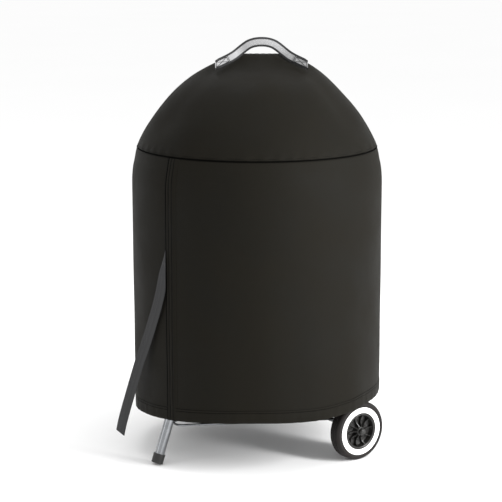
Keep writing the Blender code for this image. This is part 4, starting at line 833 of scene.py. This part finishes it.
def flap_surface(across, height, lift):
    """A place on the side cloth: across metres to the right of the flap's middle, lifted off the skirt."""
    turn = math.radians(FLAP_AZIMUTH) + across / COVER_RADIUS
    radius = skirt_radius(height) + side_relief(turn, height) + lift
    return np.stack(np.broadcast_arrays(radius * np.cos(turn), radius * np.sin(turn), height), axis=-1)


def make_flap():
    """A lap seam: full thickness at its folded left edge, feathered out on its right, pinched by two stitch rows."""
    across = np.linspace(-1, 1, 49) * FLAP_WIDTH / 2
    from_left = across + FLAP_WIDTH / 2
    lift = FLAP_LIFT * np.sqrt(smooth_step(-0.0002, 0.0016, from_left)) * (
        1 - smooth_step(0.019, 0.031, from_left)
    ) + 0.0003
    lift = lift - 0.0009 * bump_at(from_left, 0.009, 0.0011) - 0.0009 * bump_at(from_left, 0.019, 0.0011)
    t = np.linspace(0, 1, 90)[:, None]
    turn = math.radians(FLAP_AZIMUTH) + across / COVER_RADIUS
    low = hem_height(turn) + 0.0005 + 0.0035 * smooth_step(0.024, 0.031, from_left)
    height = low + (SEAM_HEIGHT - 0.0022 - low) * t
    puffs = 0.0004 * np.sin(70 * height + 2 * across / FLAP_WIDTH) * bump_at(from_left, 0.014, 0.005)
    face = flap_surface(across, height, lift + puffs)
    back = flap_surface(across[::-1], height[:, ::-1], np.full(across.size, -0.0004))
    points = np.concatenate([face, back], axis=1)
    run = np.linspace(0, 0.65, 90)
    u = np.concatenate([from_left, from_left + FLAP_WIDTH, [0.0]])
    uv = np.stack(np.broadcast_arrays(u[None, :], run[:, None]), axis=-1)
    flap = piece(
        "side_seam_flap", [patch(turned_to_frame(points), True, True, True, uv)], CLOTH, "cover",
        ["cover_seam_flap"], 60, False,
    )
    # Painted shade: the colour is darkened in the grooves of both stitch rows and along the flap's folded left edge.
    lines = np.maximum(bump_at(from_left, 0.009, 0.0013), bump_at(from_left, 0.019, 0.0013))
    edge = bump_at(from_left, 0.0, 0.0016)
    pressed = np.concatenate([np.maximum(lines, edge), np.zeros(across.size)])
    mark_painted_seam_shade(flap, np.broadcast_to(pressed, points.shape[:2]))
    return flap


def make_cover_thread():
    """Rows of stitches: round the hem, just above the shoulder seam, and up both lines of the flap."""
    a = np.linspace(-math.pi, math.pi, 721)
    out = np.stack([np.cos(a), np.sin(a), 0 * a], axis=-1)
    height = hem_height(a) + HEM_DEPTH * 0.820
    radius = COVER_RADIUS + side_relief(a, height) - 0.0001
    rows = [(np.stack([radius * np.cos(a), radius * np.sin(a), height], -1), out)]
    seam = dome_point(np.full(a.size, 0.0062 / DOME_RISE), a)
    rows.append((seam, out))
    t = np.linspace(0, 1, 200)
    for from_left in (0.009, 0.019):
        across = from_left - FLAP_WIDTH / 2
        turn = math.radians(FLAP_AZIMUTH) + across / COVER_RADIUS
        low = float(hem_height(turn)) + 0.006
        line = flap_surface(across, low + (SEAM_HEIGHT - 0.006 - low) * t, FLAP_LIFT * 0.72)
        away = np.broadcast_to([math.cos(turn), math.sin(turn), 0.0], line.shape)
        rows.append((line, away))
    patches = [stitches(turned_to_frame(path), turned_to_frame(away)) for path, away in rows]
    return piece("cover_stitching", patches, THREAD, "cover", sharp=80, weld=False)


def make_piping_and_painted_shadow():
    """Thin black cords sewn into the shoulder seam and along the flap's folded edge, dead black so they also paint the
    shadow lines there: tubes on those two lines.
    """
    a = around(360) - math.pi
    seam = dome_point(np.full(a.size, 0.0006), a)
    seam = seam - np.stack([np.cos(a), np.sin(a), 0 * a], -1) * 0.0001
    t = np.linspace(0, 1, 120)
    across = -FLAP_WIDTH / 2 - 0.0006
    low = float(hem_height(math.radians(FLAP_AZIMUTH) + across / COVER_RADIUS)) + 0.001
    edge = flap_surface(across, low + (SEAM_HEIGHT - 0.002 - low) * t, FLAP_LIFT * 0.45)
    patches = [tube(turned_to_frame(seam), 0.0012, 10, closed=True), tube(turned_to_frame(edge), 0.0014, 10)]
    return piece("cover_piping_and_painted_shadow", patches, PIPING_AND_PAINTED_SHADOW, "cover", sharp=80)


def carry_height(x):
    """Middle line of the carry handle: a rounded peak, steep flanks, and ends that ease down the dome's slopes."""
    return CARRY_APEX - CARRY_WIDTH / 2 - np.interp(np.abs(x), CARRY_PLACES, CARRY_DROPS)


def dome_front(x, height):
    """How far the dome's front stands before its middle plane: the half ellipse of its level section there."""
    share = np.minimum((height - SEAM_HEIGHT) / DOME_RISE, RIDGE_SHARE)
    right, left = dome_point(share, 0.0)[..., 0], dome_point(share, math.pi)[..., 0]
    deep = dome_point(share, math.pi / 2)[..., 1]
    inside = 1 - ((x - (right + left) / 2) / ((right - left) / 2)) ** 2
    return deep * np.sqrt(np.maximum(inside, 0.0))


def carry_frame(count=181):
    """Along the handle: its middle line, the direction across its width, and the way along it."""
    x = np.linspace(-1, 1, count) * CARRY_HALF
    slope = np.gradient(carry_height(x), x)
    plumb = smooth_step(CARRY_HALF - 0.014, CARRY_HALF - 0.002, np.abs(x))
    across = unit(np.stack([-slope * (1 - plumb), 0 * x, np.ones_like(x)], axis=-1))
    reach = []
    for s in (-0.5, 0.0, 0.5):
        px, pz = TOP_LEAN + x + across[:, 0] * CARRY_WIDTH * s, carry_height(x) + across[:, 2] * CARRY_WIDTH * s
        reach.append(dome_front(px, pz))
    front = max(float(dome_front(TOP_LEAN + e, carry_height(e) - CARRY_WIDTH / 2)) for e in (-0.068, 0.068))
    deep = np.maximum(np.max(reach, axis=0), front * 0.6)
    kernel = np.hanning(25) / np.hanning(25).sum()
    deep = np.maximum(deep, np.convolve(np.pad(deep, 12, mode="edge"), kernel, mode="valid"))
    middle = np.stack([TOP_LEAN + x, -deep - 0.0046 - 0.0015, carry_height(x)], axis=-1)
    return x, middle, across


def make_carry_handle():
    """Webbing on edge: p(t) + s w/2 across(t) + face, with a rounded section and doubled, box-stitched ends."""
    x, middle, across = carry_frame()
    out = np.array([0.0, -1.0, 0.0])
    b = around(28)
    s = np.sign(np.cos(b)) * np.abs(np.cos(b)) ** 0.55
    face = np.sign(np.sin(b)) * np.abs(np.sin(b)) ** 0.55
    doubled = smooth_step(CARRY_JOINT - 0.0006, CARRY_JOINT + 0.0006, np.abs(x))
    thick = 0.0030 + 0.0010 * doubled
    groove = 1 - 0.35 * bump_at(np.abs(x), CARRY_JOINT - 0.0012, 0.0010)
    bulge = 0.00045 * (1 - s[None, :] ** 2) * (face[None, :] > 0)
    depth = (thick * groove)[:, None] * 0.5 * face[None, :] + 0.0005 * doubled[:, None] + bulge
    points = middle[:, None] + across[:, None] * (s * CARRY_WIDTH / 2)[None, :, None] + out * depth[..., None]
    run = np.concatenate([[0], np.cumsum(np.linalg.norm(np.diff(middle, axis=0), axis=1))])
    v = np.append(s, s[0]) * CARRY_WIDTH / 2
    uv = np.stack(np.broadcast_arrays(run[:, None], v[None, :]), axis=-1)
    grid = patch(turned_to_frame(points), True, True, True, uv)
    piece("carry_handle_webbing", [grid], HANDLE_WEBBING, "cover", ["carry_handle"], 60)

    rows = []
    top = 0.0034
    for side in (-1, 1):
        ends = side * np.array([CARRY_JOINT + 0.003, CARRY_HALF - 0.003])
        box = [(ends[0], -0.0065), (ends[1], -0.0065), (ends[1], 0.0065), (ends[0], 0.0065), (ends[0], -0.0065)]
        bar = [(side * CARRY_JOINT, -0.0105), (side * CARRY_JOINT, 0.0105)]
        for first, second in [*zip(box, box[1:]), (box[0], box[2]), (box[1], box[3]), bar, bar]:
            t = np.linspace(0, 1, 30)
            along = first[0] + (second[0] - first[0]) * t
            wide = first[1] + (second[1] - first[1]) * t
            base = np.stack([np.interp(along, x, middle[:, k]) for k in range(3)], -1)
            lean = np.stack([np.interp(along, x, across[:, k]) for k in range(3)], -1)
            rows.append(base + lean * wide[:, None] + out * top)
    away = [np.broadcast_to(out, row.shape) for row in rows]
    patches = [stitches(turned_to_frame(r), turned_to_frame(o), 0.0030, 0.75, 0.0008) for r, o in zip(rows, away)]
    piece("carry_handle_stitching", patches, THREAD, "cover", sharp=80, weld=False)


# ---- kettle ------------------------------------------------------------------------------
def holed(points, holes, keep_wrap=True):
    """Cuts round holes in a ring grid: corners near a hole's edge move onto it, and faces inside it are left out.
    Each hole is (centre, radius). Gives the patch."""
    shape = points.shape
    flat = points.reshape(-1, 3).copy()
    inside = np.zeros(len(flat), bool)
    for centre, radius in holes:
        centre = np.asarray(centre, float)
        away = flat - centre
        distance = np.linalg.norm(away, axis=1)
        step = 0.55 * np.linalg.norm(points[0, 1] - points[0, 0]) + 0.0012
        near = np.abs(distance - radius) < step
        flat[near] = centre + away[near] * (radius / distance[near])[:, None]
        inside |= (distance < radius) & ~near
    vertices, faces, corners = patch(flat.reshape(shape), keep_wrap)
    kept = ~inside[faces[0]].any(axis=1)
    for centre, radius in holes:
        middle = vertices[faces[0]].mean(axis=1)
        kept &= np.linalg.norm(middle - np.asarray(centre), axis=1) > radius * 0.97
    return vertices, [faces[0][kept]], [corners[0][kept]]


def quarter(radius, depth, low, high, count):
    """Radius and height of a quarter ellipse, its angle from low to high degrees."""
    t = np.radians(np.linspace(low, high, count))
    return np.stack([radius * np.cos(t), depth * np.sin(t)], axis=-1)


def ring_grid(profile, azimuths):
    """A (radius, height) profile turned through the given azimuths: r cos a, r sin a, z."""
    profile = np.asarray(profile, float)
    radius, height = profile[:, 0][:, None], profile[:, 1][:, None]
    return np.stack([radius * np.cos(azimuths), radius * np.sin(azimuths), height + 0 * azimuths], axis=-1)


def make_bowl():
    """A half ellipsoid of sheet with a rolled rim, a shaft hole and three round ash vents."""
    a = around(240)
    bowl = quarter(BOWL_RADIUS, BOWL_DEPTH, -90 + 1.25, 0, 110)
    bowl[:, 1] += RIM_HEIGHT
    grid = ring_grid(bowl, a)
    holes = []
    for degrees in (-75, 45, 165):
        turn = math.radians(degrees)
        height = RIM_HEIGHT - BOWL_DEPTH * math.sqrt(1 - (0.072 / BOWL_RADIUS) ** 2)
        holes.append(((0.072 * math.cos(turn), 0.072 * math.sin(turn), height), 0.0162))
    shell = piece("kettle_bowl", [holed(grid, holes)], ENAMEL, "frame", ["bowl"], 60, True)
    thicken(shell, WALL)
    section = np.linspace(0, 2 * math.pi, 17)
    bead = np.stack([BOWL_RADIUS + 0.0010 + 0.0034 * np.cos(section), RIM_HEIGHT + 0.0034 * np.sin(section)], -1)
    piece("kettle_bowl_rolled_rim", [turned(bead, 240)], ENAMEL, "frame", sharp=60)


def lid_place(radius, degrees):
    """A place on the lid and its outward direction, at a radius and an azimuth in the cover's own turn."""
    turn = math.radians(degrees)
    height = math.sqrt(1 - (radius / LID_RADIUS) ** 2)
    spot = np.array([radius * math.cos(turn), radius * math.sin(turn), LID_FOOT + LID_RISE * height])
    lean = np.array(
        [radius / LID_RADIUS**2 * math.cos(turn), radius / LID_RADIUS**2 * math.sin(turn), height / LID_RISE]
    )
    return turned_to_frame(spot), turned_to_frame(unit(lean))


def make_lid():
    """Half an ellipsoid over a short upright skirt, with four vents in a square under the damper."""
    columns = 300
    u = around(columns)
    middle = math.radians(68)
    a = u - 0.55 * np.sin(u - middle)
    dome = quarter(LID_RADIUS, LID_RISE, 4.2, 89.6, 130)
    dome[:, 1] += LID_FOOT
    foot = softened([(LID_OUTER - 0.0002, LID_FOOT - 0.013), (LID_OUTER, LID_FOOT + 0.0022), tuple(dome[0])], 0.0024, 6)
    profile = np.concatenate([foot[:-1], dome])
    grid = turned_to_frame(ring_grid(profile, a))
    spot, away = lid_place(0.135, 68)
    place = pointing(spot, spot + away)
    holes = [
        (moved((0.021 * math.cos(t), 0.021 * math.sin(t), 0), place), 0.0090)
        for t in np.radians((45, 135, 225, 315))
    ]
    vertices, faces, corners = holed(grid, holes)
    tip = len(vertices)
    last = (len(profile) - 1) * columns + np.arange(columns)
    vertices = np.concatenate([vertices, [[0, 0, LID_FOOT + LID_RISE]]])
    faces.append(np.stack([last, np.roll(last, -1), np.full(columns, tip)], -1))
    corners.append(np.zeros((columns, 3, 2)))
    lid = piece("kettle_lid", [(vertices, faces, corners)], ENAMEL, "lid", ["lid"], 50, True)
    thicken(lid, WALL)

    disc = []
    outline = around(120)
    tab = smooth_step(math.radians(17), math.radians(9), np.abs((outline + math.pi) % (2 * math.pi) - math.pi))
    reach = 0.040 + 0.0158 * tab
    for share in np.linspace(0.115, 1.0, 26):
        curl = 0.0045 * tab * smooth_step(0.75, 1.0, np.full(120, share))
        disc.append(np.stack([reach * share * np.cos(outline), reach * share * np.sin(outline), 0.0037 + curl], -1))
    openings = [((0.021 * math.cos(t), 0.021 * math.sin(t), 0.0037), 0.0090) for t in np.radians((45, 135, 225, 315))]
    points, groups, uvs = holed(np.array(disc), openings)
    damper = piece(
        "damper_disc", [(moved(points, place), groups, uvs)], PRESSED_SHEET, "lid_damper",
        ["lid_damper"], 50
    )
    thicken(damper, 0.0013)
    head = softened(
        [(0.0, 0.0072), (0.0050, 0.0066), (0.0070, 0.0043), (0.0030, 0.0041), (0.0030, -0.0030)], 0.0012, 4
    )[::-1]
    washer = softened([(0.0030, -0.0044), (0.0062, -0.0044), (0.0062, -0.0032), (0.0030, -0.0032)], 0.0003, 3)
    parts = [turned(head, 40, place, False, True), turned(washer, 40, place, True, True)]
    piece("damper_rivet_head", parts, PLAIN_STEEL, "lid", ["damper_rivet"])


def make_lid_handle():
    """A moulded arch, thicker in the middle, on a thin bent heat shield."""
    base = LID_FOOT + LID_RISE * math.sqrt(1 - (0.060 / LID_RADIUS) ** 2) + 0.006
    turn = np.linspace(0, math.pi, 60)
    x = -0.060 * np.sign(np.cos(turn)) * np.abs(np.cos(turn)) ** 0.62
    z = base + 0.0770 * np.sin(turn) ** 0.62
    path = np.stack([x, 0 * x, z], -1)
    path = curve_through(np.concatenate([[[-0.060, 0, base - 0.0030]], path[1:-1:3], [[0.060, 0, base - 0.0030]]]), 90)
    share = np.linspace(-1, 1, 90)
    radius = 0.0078 + 0.0012 * (1 - share**2) + 0.0012 * smooth_step(0.93, 1.0, np.abs(share))
    radius = radius - 0.0003 * (np.abs(np.sin(share * 30)) ** 6) * (np.abs(share) < 0.4)
    points, faces, corners = tube(path, radius, 28)
    piece(
        "lid_handle_grip", [(turned_to_frame(points), faces, corners)], NYLON, "lid", ["lid_handle"],
        60
    )

    across = np.linspace(-0.021, 0.021, 15)
    along = np.linspace(-0.082, 0.082, 61)
    corner = 1 - 0.35 * smooth_step(0.070, 0.082, np.abs(along))
    gx, gy = np.meshgrid(along, across)
    gy = gy * corner[None, :]
    height = LID_FOOT + (LID_RISE + 0.0018) * np.sqrt(1 - (gx**2 + gy**2) / (LID_RADIUS + 0.0018) ** 2)
    height = height + 0.0007 * bump_at(np.abs(gy), 0.015, 0.0022)
    top = np.stack([gx, gy, height], -1)
    shield = piece(
        "lid_handle_heat_shield", [patch(turned_to_frame(top))], PLAIN_STEEL, "lid",
        ["lid_handle_shield"], 50,
    )
    thicken(shield, 0.0011)


def make_side_handles():
    """Nylon loops: a squared half ring with grooves under the fingers."""
    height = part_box("side_handle_wheel_side")[0].z + 0.0072
    wall = BOWL_RADIUS * math.sqrt(1 - ((RIM_HEIGHT - height) / BOWL_DEPTH) ** 2)
    turn = np.linspace(0, math.pi, 49)
    across = -0.052 * np.sign(np.cos(turn)) * np.abs(np.cos(turn)) ** 0.35
    out = wall - 0.002 + 0.0285 * np.sin(turn) ** 0.45
    for side, sign in (("wheel_side", 1), ("leg_side", -1)):
        path = np.stack([sign * out, across, np.full(49, height)], -1)
        start = [[sign * (wall - 0.0055), -0.052, height]]
        end = [[sign * (wall - 0.0055), 0.052, height]]
        path = curve_through(np.concatenate([start, path[1:-1:3], end]), 90)
        share = np.linspace(-1, 1, 90)
        radius = 0.0068 + 0.0006 * smooth_step(0.80, 0.95, np.abs(share))
        radius = radius - 0.0004 * (np.sin(share * 26) ** 8) * (np.abs(share) < 0.45)
        piece(
            f"side_handle_loop_{side}", [tube(path, radius, 24)], NYLON, "frame",
            [f"side_handle_{side}"], 60
        )


# ---- legs, wheels and wire -----------------------------------------------------------------
LEGS = {"single_leg": (180, 0.316), "wheel_leg_right": (-60, 0.2766), "wheel_leg_left": (60, 0.2766)}


def leg_ends(name):
    """The ends of a leg's middle line: in its socket, and where it would meet the floor."""
    degrees, foot = LEGS[name]
    turn = math.radians(degrees)
    way = np.array([math.cos(turn), math.sin(turn), 0.0])
    return way * 0.135 + [0, 0, 0.500], way * foot


def make_legs():
    """Bright tubes, and enamelled sockets whose upper ends are cut along the bowl's ellipsoid."""
    for name in LEGS:
        top, floor = leg_ends(name)
        way = unit(floor - top)
        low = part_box(name)[0]
        end = top + way * ((top[2] - low.z) / -way[2] - 0.004)
        start = top + way * 0.020
        t = np.linspace(0, 1, 24)[:, None]
        piece(
            f"{name}_tube", [tube(start + (end - start) * t, LEG_RADIUS, 48)], DRAWN_TUBE, "frame",
            [name]
        )

        matrix = pointing(top, floor)
        b = around(48)
        outer = 0.0151
        ring = np.stack([outer * np.cos(b), outer * np.sin(b), 0 * b], -1)
        steps = np.linspace(-0.02, 0.052, 400)
        line = moved(ring[None] + np.array([0, 0, 1.0]) * steps[:, None, None], matrix)
        level = np.sqrt(
            (line[..., 0] ** 2 + line[..., 1] ** 2) / BOWL_RADIUS**2
            + ((line[..., 2] - RIM_HEIGHT) / BOWL_DEPTH) ** 2
        )
        begin = steps[np.argmax(level > 1.001, axis=0)]
        rows = np.concatenate([[0.0, 0.06], np.linspace(0.1, 0.96, 8), [0.985, 1.0]])[:, None]
        along = begin + (0.052 - begin) * rows
        lip = np.interp(rows, [0.0, 0.04, 0.96, 1.0], [outer + 0.0016, outer, outer, outer - 0.0004])
        points = np.stack([lip * np.cos(b), lip * np.sin(b), along], -1)
        inner = np.stack([
            0 * lip[-1:] + (LEG_RADIUS + 0.0004) * np.cos(b), 0 * lip[-1:] + (LEG_RADIUS + 0.0004) * np.sin(b),
            along[-1:] - 0.0002
        ], -1)
        deeper = inner - np.array([0, 0, 0.012])
        points = moved(np.concatenate([points, inner, deeper]), matrix)
        socket = patch(points, True)
        piece(f"{name}_stub_socket", [socket], ENAMEL, "frame", [f"{name}_socket"], 50)

    top, floor = leg_ends("single_leg")
    matrix = pointing(top, floor)
    length = np.linalg.norm(floor - top)
    lean = math.atan2(0.316 - 0.135, 0.500)
    outer = LEG_RADIUS + 0.0026
    sole = length - (outer * math.sin(lean) - 0.0012) / math.cos(lean)
    line = softened([
        (LEG_RADIUS + 0.0002, sole - 0.0245), (outer, sole - 0.0245), (outer, sole - 0.0065),
        (outer - 0.0005, sole - 0.0060),
        (outer - 0.0005, sole - 0.0052), (outer, sole - 0.0047), (outer, sole), (0.0, sole),
    ], 0.0010, 4)[::-1]
    points, faces, corners = turned(line, 64, matrix, True, False)
    points[:, 2] = np.maximum(points[:, 2], 0.0)
    piece("single_leg_foot_cap", [(points, faces, corners)], NYLON, "frame", ["foot_cap"], 35)


def rib(matrix, degrees, start, end, half, low, crest):
    """One hub rib: a thin upright wall from the boss to the rim, its crest sagging between them."""
    t = np.linspace(0, 1, 14)
    radius = start + (end - start) * t
    top = crest - 0.0075 * np.sin(math.pi * np.clip(t * 0.92, 0, 1)) ** 1.2
    turn = math.radians(degrees) + 0.10 * t**1.5
    side = np.array([-1.0, -1.0, -0.55, 0.55, 1.0, 1.0])
    level = np.array([0.0, 0.86, 1.0, 1.0, 0.86, 0.0])
    height = low + (top[:, None] - low) * level[None, :]
    x = radius[:, None] + 0 * side
    y = half * side[None, :] + 0 * radius[:, None]
    c, s = np.cos(turn)[:, None], np.sin(turn)[:, None]
    points = np.stack([x * c - y * s, x * s + y * c, height], -1)
    return patch(moved(points, matrix), True, True, True)


def make_wheels():
    """Turned tyre, ring and hub on each end of the axle, with ten moulded ribs in the hub."""
    for side, outward in (("right", -1), ("left", 1)):
        low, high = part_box(f"tyre_{side}")
        middle = (low.y + high.y) / 2
        matrix = Matrix.Translation((WHEEL_X, middle, WHEEL_RADIUS)) @ Matrix.Rotation(
            math.radians(-90 * outward), 4, "X"
        )
        half, r = 0.018, WHEEL_RADIUS
        tread = []
        for groove in (-0.0066, 0.0, 0.0066):
            tread += [
                (r, groove - 0.0014), (r - 0.0020, groove - 0.0009), (r - 0.0020, groove + 0.0009),
                (r, groove + 0.0014)
            ]
        tyre = [
            (0.0459, -half + 0.0020), (0.0630, -half + 0.0018), (0.0650, -half), (r - 0.0060, -half),
            (r - 0.0015, -half + 0.0040),
            (r, -half + 0.0065), *tread, (r, half - 0.0065), (r - 0.0015, half - 0.0040), (r - 0.0060, half),
            (0.0650, half),
            (0.0632, half - 0.0014), (0.0459, half - 0.0016),
        ]
        line = softened(tyre, 0.0010, 3, closed=True)
        piece(
            f"tyre_ribbed_{side}", [turned(line, 160, matrix)], RUBBER, f"wheel_{side}",
            [f"tyre_{side}"], 45
        )

        ring = softened([
            (0.0478, half - 0.0014), (0.0480, half + 0.0002), (0.0500, half + 0.0004), (0.0600, half + 0.0004),
            (0.0620, half + 0.0001), (0.0622, half - 0.0014),
        ], 0.0008, 4, closed=True)
        piece(
            f"white_ring_{side}", [turned(ring, 160, matrix)], WHITE_RING, f"wheel_{side}",
            [f"whitewall_{side}"], 50
        )

        hub = [
            (0.0058, -0.0185), (0.0125, -0.0185), (0.0132, -0.0040), (0.0390, -0.0030), (0.0400, -0.0165),
            (0.0455, -0.0172),
            (0.0455, 0.0172), (0.0440, 0.0178), (0.0415, 0.0166), (0.0392, 0.0020), (0.0150, 0.0020),
            (0.0120, 0.0100),
            (0.0108, 0.0180), (0.0058, 0.0188),
        ]
        line = softened(hub, 0.0012, 3, closed=True)
        patches = [turned(line, 120, matrix)]
        patches += [rib(matrix, 36 * k, 0.0112, 0.0405, 0.0011, 0.0010, 0.0158) for k in range(10)]
        patches += [rib(matrix, 36 * k + 18, 0.0250, 0.0400, 0.0007, 0.0010, 0.0062) for k in range(10)]
        piece(f"ribbed_hub_{side}", patches, HUB_PLASTIC, f"wheel_{side}", [f"wheel_hub_{side}"], 45)

        low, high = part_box(f"axle_cap_{side}")
        tip = low.y if outward < 0 else high.y
        base = high.y if outward < 0 else low.y
        matrix = Matrix.Translation((WHEEL_X, base, WHEEL_RADIUS)) @ Matrix.Rotation(
            math.radians(-90 * outward), 4, "X"
        )
        length = abs(tip - base)
        cap = softened(
            [(0.0050, 0.0), (0.0088, 0.0), (0.0088, length * 0.55), (0.0060, length), (0.0, length)], 0.0018, 5
        )
        piece(
            f"axle_end_cap_{side}", [turned(cap, 48, matrix, False, True)], HUB_PLASTIC, "frame",
            [f"axle_cap_{side}"], 50
        )


def make_axle():
    """The fixed axle and the nylon bushes that carry it in the ends of the wheel legs."""
    low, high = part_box("axle")
    y = np.linspace(low.y, high.y, 30)
    path = np.stack([np.full(30, WHEEL_X), y, np.full(30, WHEEL_RADIUS)], -1)
    piece("axle_rod", [tube(path, 0.0048, 32)], PLATED_WIRE, "frame", ["axle"])
    for side in ("right", "left"):
        top, floor = leg_ends(f"wheel_leg_{side}")
        here = top + (floor - top) * (0.500 - WHEEL_RADIUS) / 0.500
        collar = LEG_RADIUS + 0.0020
        line = softened([
            (0.0, collar - 0.0004), (collar * 0.7, collar - 0.0004), (collar, collar * 0.55), (collar, -0.018),
            (LEG_RADIUS - 0.0016, -0.018), (LEG_RADIUS - 0.0016, -0.044), (0.0, -0.044)
        ], 0.0014, 5)[::-1]
        piece(
            f"axle_bush_collar_{side}", [turned(line, 64, pointing(here, floor), True, True)], NYLON, "frame",
            [f"axle_bush_{side}"], 50
        )


def rounded_loop(corners, radius, steps=10):
    """A flat closed route whose corners are arcs."""
    corners = [np.asarray(c, float) for c in corners]
    route = []
    for i, corner in enumerate(corners):
        before, after = unit(corners[i - 1] - corner), unit(corners[(i + 1) % len(corners)] - corner)
        half = math.acos(float(np.dot(before, after))) / 2
        centre = corner + unit(before + after) * (radius / math.sin(half))
        first, last = (
            corner + before * (radius / math.tan(half)) - centre, corner + after * (radius / math.tan(half)) - centre
        )
        t = np.linspace(0, 1, steps)[:, None]
        route.append(centre + unit(first * (1 - t) + last * t) * radius)
    return np.concatenate(route)


def straight(start, end, count=12):
    """A straight run of points: (1 - t) start + t end."""
    t = np.linspace(0, 1, count)[:, None]
    return np.asarray(start, float) * (1 - t) + np.asarray(end, float) * t


def make_shelf():
    """A three-cornered loop of wire with slats laid under it, parallel to the axle."""
    low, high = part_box("wire_shelf")
    level = (low.z + high.z) / 2
    corners = []
    for name in ("single_leg", "wheel_leg_right", "wheel_leg_left"):
        top, floor = leg_ends(name)
        here = top + (floor - top) * (0.500 - level) / 0.500
        reach = np.linalg.norm(here[:2]) - (
            LEG_RADIUS + 0.0020 + 0.003 + 0.0028
        ) + 0.022 * (1 / math.sin(math.radians(30)) - 1)
        corners.append(np.append(unit(here[:2]) * reach, level))
    loop = rounded_loop(corners, 0.022)
    parts = [tube(loop, 0.003, 14, closed=True)]
    back, front = corners[1][0], corners[0][0]
    count = 9
    for k in range(1, count + 1):
        x = back + (front - back) * k / (count + 2.4)
        half = abs(corners[1][1]) * (x - front) / (back - front)
        parts.append(tube(straight((x, -half, level - 0.0006), (x, half, level - 0.0006)), 0.0020, 10))
    piece("shelf_wires", parts, PLATED_WIRE, "frame", ["wire_shelf"], 60)


def make_ash_parts():
    """The pressed ash pan with its rolled edge, and the wire ring that holds it."""
    low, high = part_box("ash_pan")
    wall = 0.0012
    line = softened([
        (0.0, low.z + 0.0016), (0.040, low.z + 0.0016), (0.046, low.z), (0.124, low.z), (0.1335, high.z - 0.0018),
        (0.1365, high.z - 0.0018), (0.1378, high.z - 0.0008), (0.1365, high.z), (0.1325, high.z),
        (0.1225, low.z + wall),
        (0.046, low.z + wall), (0.040, low.z + 0.0016 + wall), (0.0, low.z + 0.0016 + wall),
    ], 0.0016, 4)
    piece(
        "ash_pan_pressing", [turned(line, 160, None, True, True)], PRESSED_SHEET, "ash_pan",
        ["ash_pan"], 50
    )
    level = low.z - 0.0033
    b = around(120)
    parts = [tube(np.stack([0.112 * np.cos(b), 0.112 * np.sin(b), np.full(120, level)], -1), 0.003, 14, closed=True)]
    for name in LEGS:
        top, floor = leg_ends(name)
        here = top + (floor - top) * (0.500 - level) / 0.500
        way = np.append(unit(here[:2]), 0.0)
        reach = np.linalg.norm(here[:2]) - LEG_RADIUS - 0.003
        parts.append(tube(straight(way * 0.111 + [0, 0, level], way * reach + [0, 0, level]), 0.0026, 12))
    piece("ash_pan_ring", parts, PLATED_WIRE, "frame", ["ash_pan_holder"], 60)


def grate_wires(radius, height, rim, bar, count):
    """A ring of wire, parallel bars cut to its chords, and two cross bars under them."""
    b = around(160)
    parts = [tube(
        np.stack([(radius - rim) * np.cos(b), (radius - rim) * np.sin(b), np.full(160, height)], -1),
        rim, 12, closed=True
    )]
    inside = radius - rim
    pitch = 2 * inside / (count + 1)
    for k in range(count):
        y = pitch * (k - (count - 1) / 2)
        half = math.sqrt(inside**2 - y**2)
        parts.append(tube(straight((-half, y, height), (half, y, height), 6), bar, 10))
    for side in (-1, 1):
        x = side * inside * 0.55
        half = math.sqrt(inside**2 - x**2)
        parts.append(tube(straight((x, -half, height - bar * 1.7), (x, half, height - bar * 1.7), 6), bar, 10))
    return parts


def make_grates():
    """The charcoal grate of thick bare wire, and the plated cooking grate with its two lifting loops."""
    piece(
        "charcoal_grate_wires", grate_wires(0.2100, 0.572, 0.0034, 0.0032, 17), PLAIN_STEEL, "charcoal_grate",
        ["charcoal_grate"], 60
    )
    parts = grate_wires(0.2655, 0.665, 0.0030, 0.0021, 31)
    for side in (-1, 1):
        foot = side * math.sqrt(0.2595**2 - 0.045**2)
        turn = np.linspace(0, math.pi, 40)
        along = 0.045 * np.sign(np.cos(turn)) * np.abs(np.cos(turn)) ** 0.5
        rise = 0.024 * np.sin(turn) ** 0.6
        path = np.stack([along, foot - side * rise * 0.35, 0.665 + rise], -1)
        parts.append(tube(curve_through(path[::2], 60), 0.0028, 12))
    piece("cooking_grate_wires", parts, PLATED_WIRE, "cooking_grate", ["cooking_grate"], 60)


def dress_frame_nodes():
    """Small plain pieces keep their frame shape and take the fine finishes."""
    looks = {
        PLAIN_STEEL: [
            "side_handle_bolt_wheel_side_a", "side_handle_bolt_wheel_side_b", "side_handle_bolt_leg_side_a",
            "side_handle_bolt_leg_side_b", "grate_bracket_1", "grate_bracket_2", "grate_bracket_3",
            "sweeper_blades", "sweeper_shaft", "sweeper_nut", "lid_handle_bolt_left", "lid_handle_bolt_right",
        ],
        PLATED_WIRE: ["sweeper_lever"],
    }
    for look, names in looks.items():
        for name in names:
            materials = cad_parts[name].data.materials
            materials.clear()
            materials.append(look)


# ---- the whole -----------------------------------------------------------------------------
set_studio()
make_strap()
top_cloth = make_dome()
side_cloth = make_side_cloth()
sewn_on = [make_hem(), make_flap(), make_cover_thread(), make_piping_and_painted_shadow()]
make_carry_handle()
make_bowl()
make_lid()
make_lid_handle()
make_side_handles()
make_legs()
make_wheels()
make_axle()
make_shelf()
make_ash_parts()
make_grates()
dress_frame_nodes()
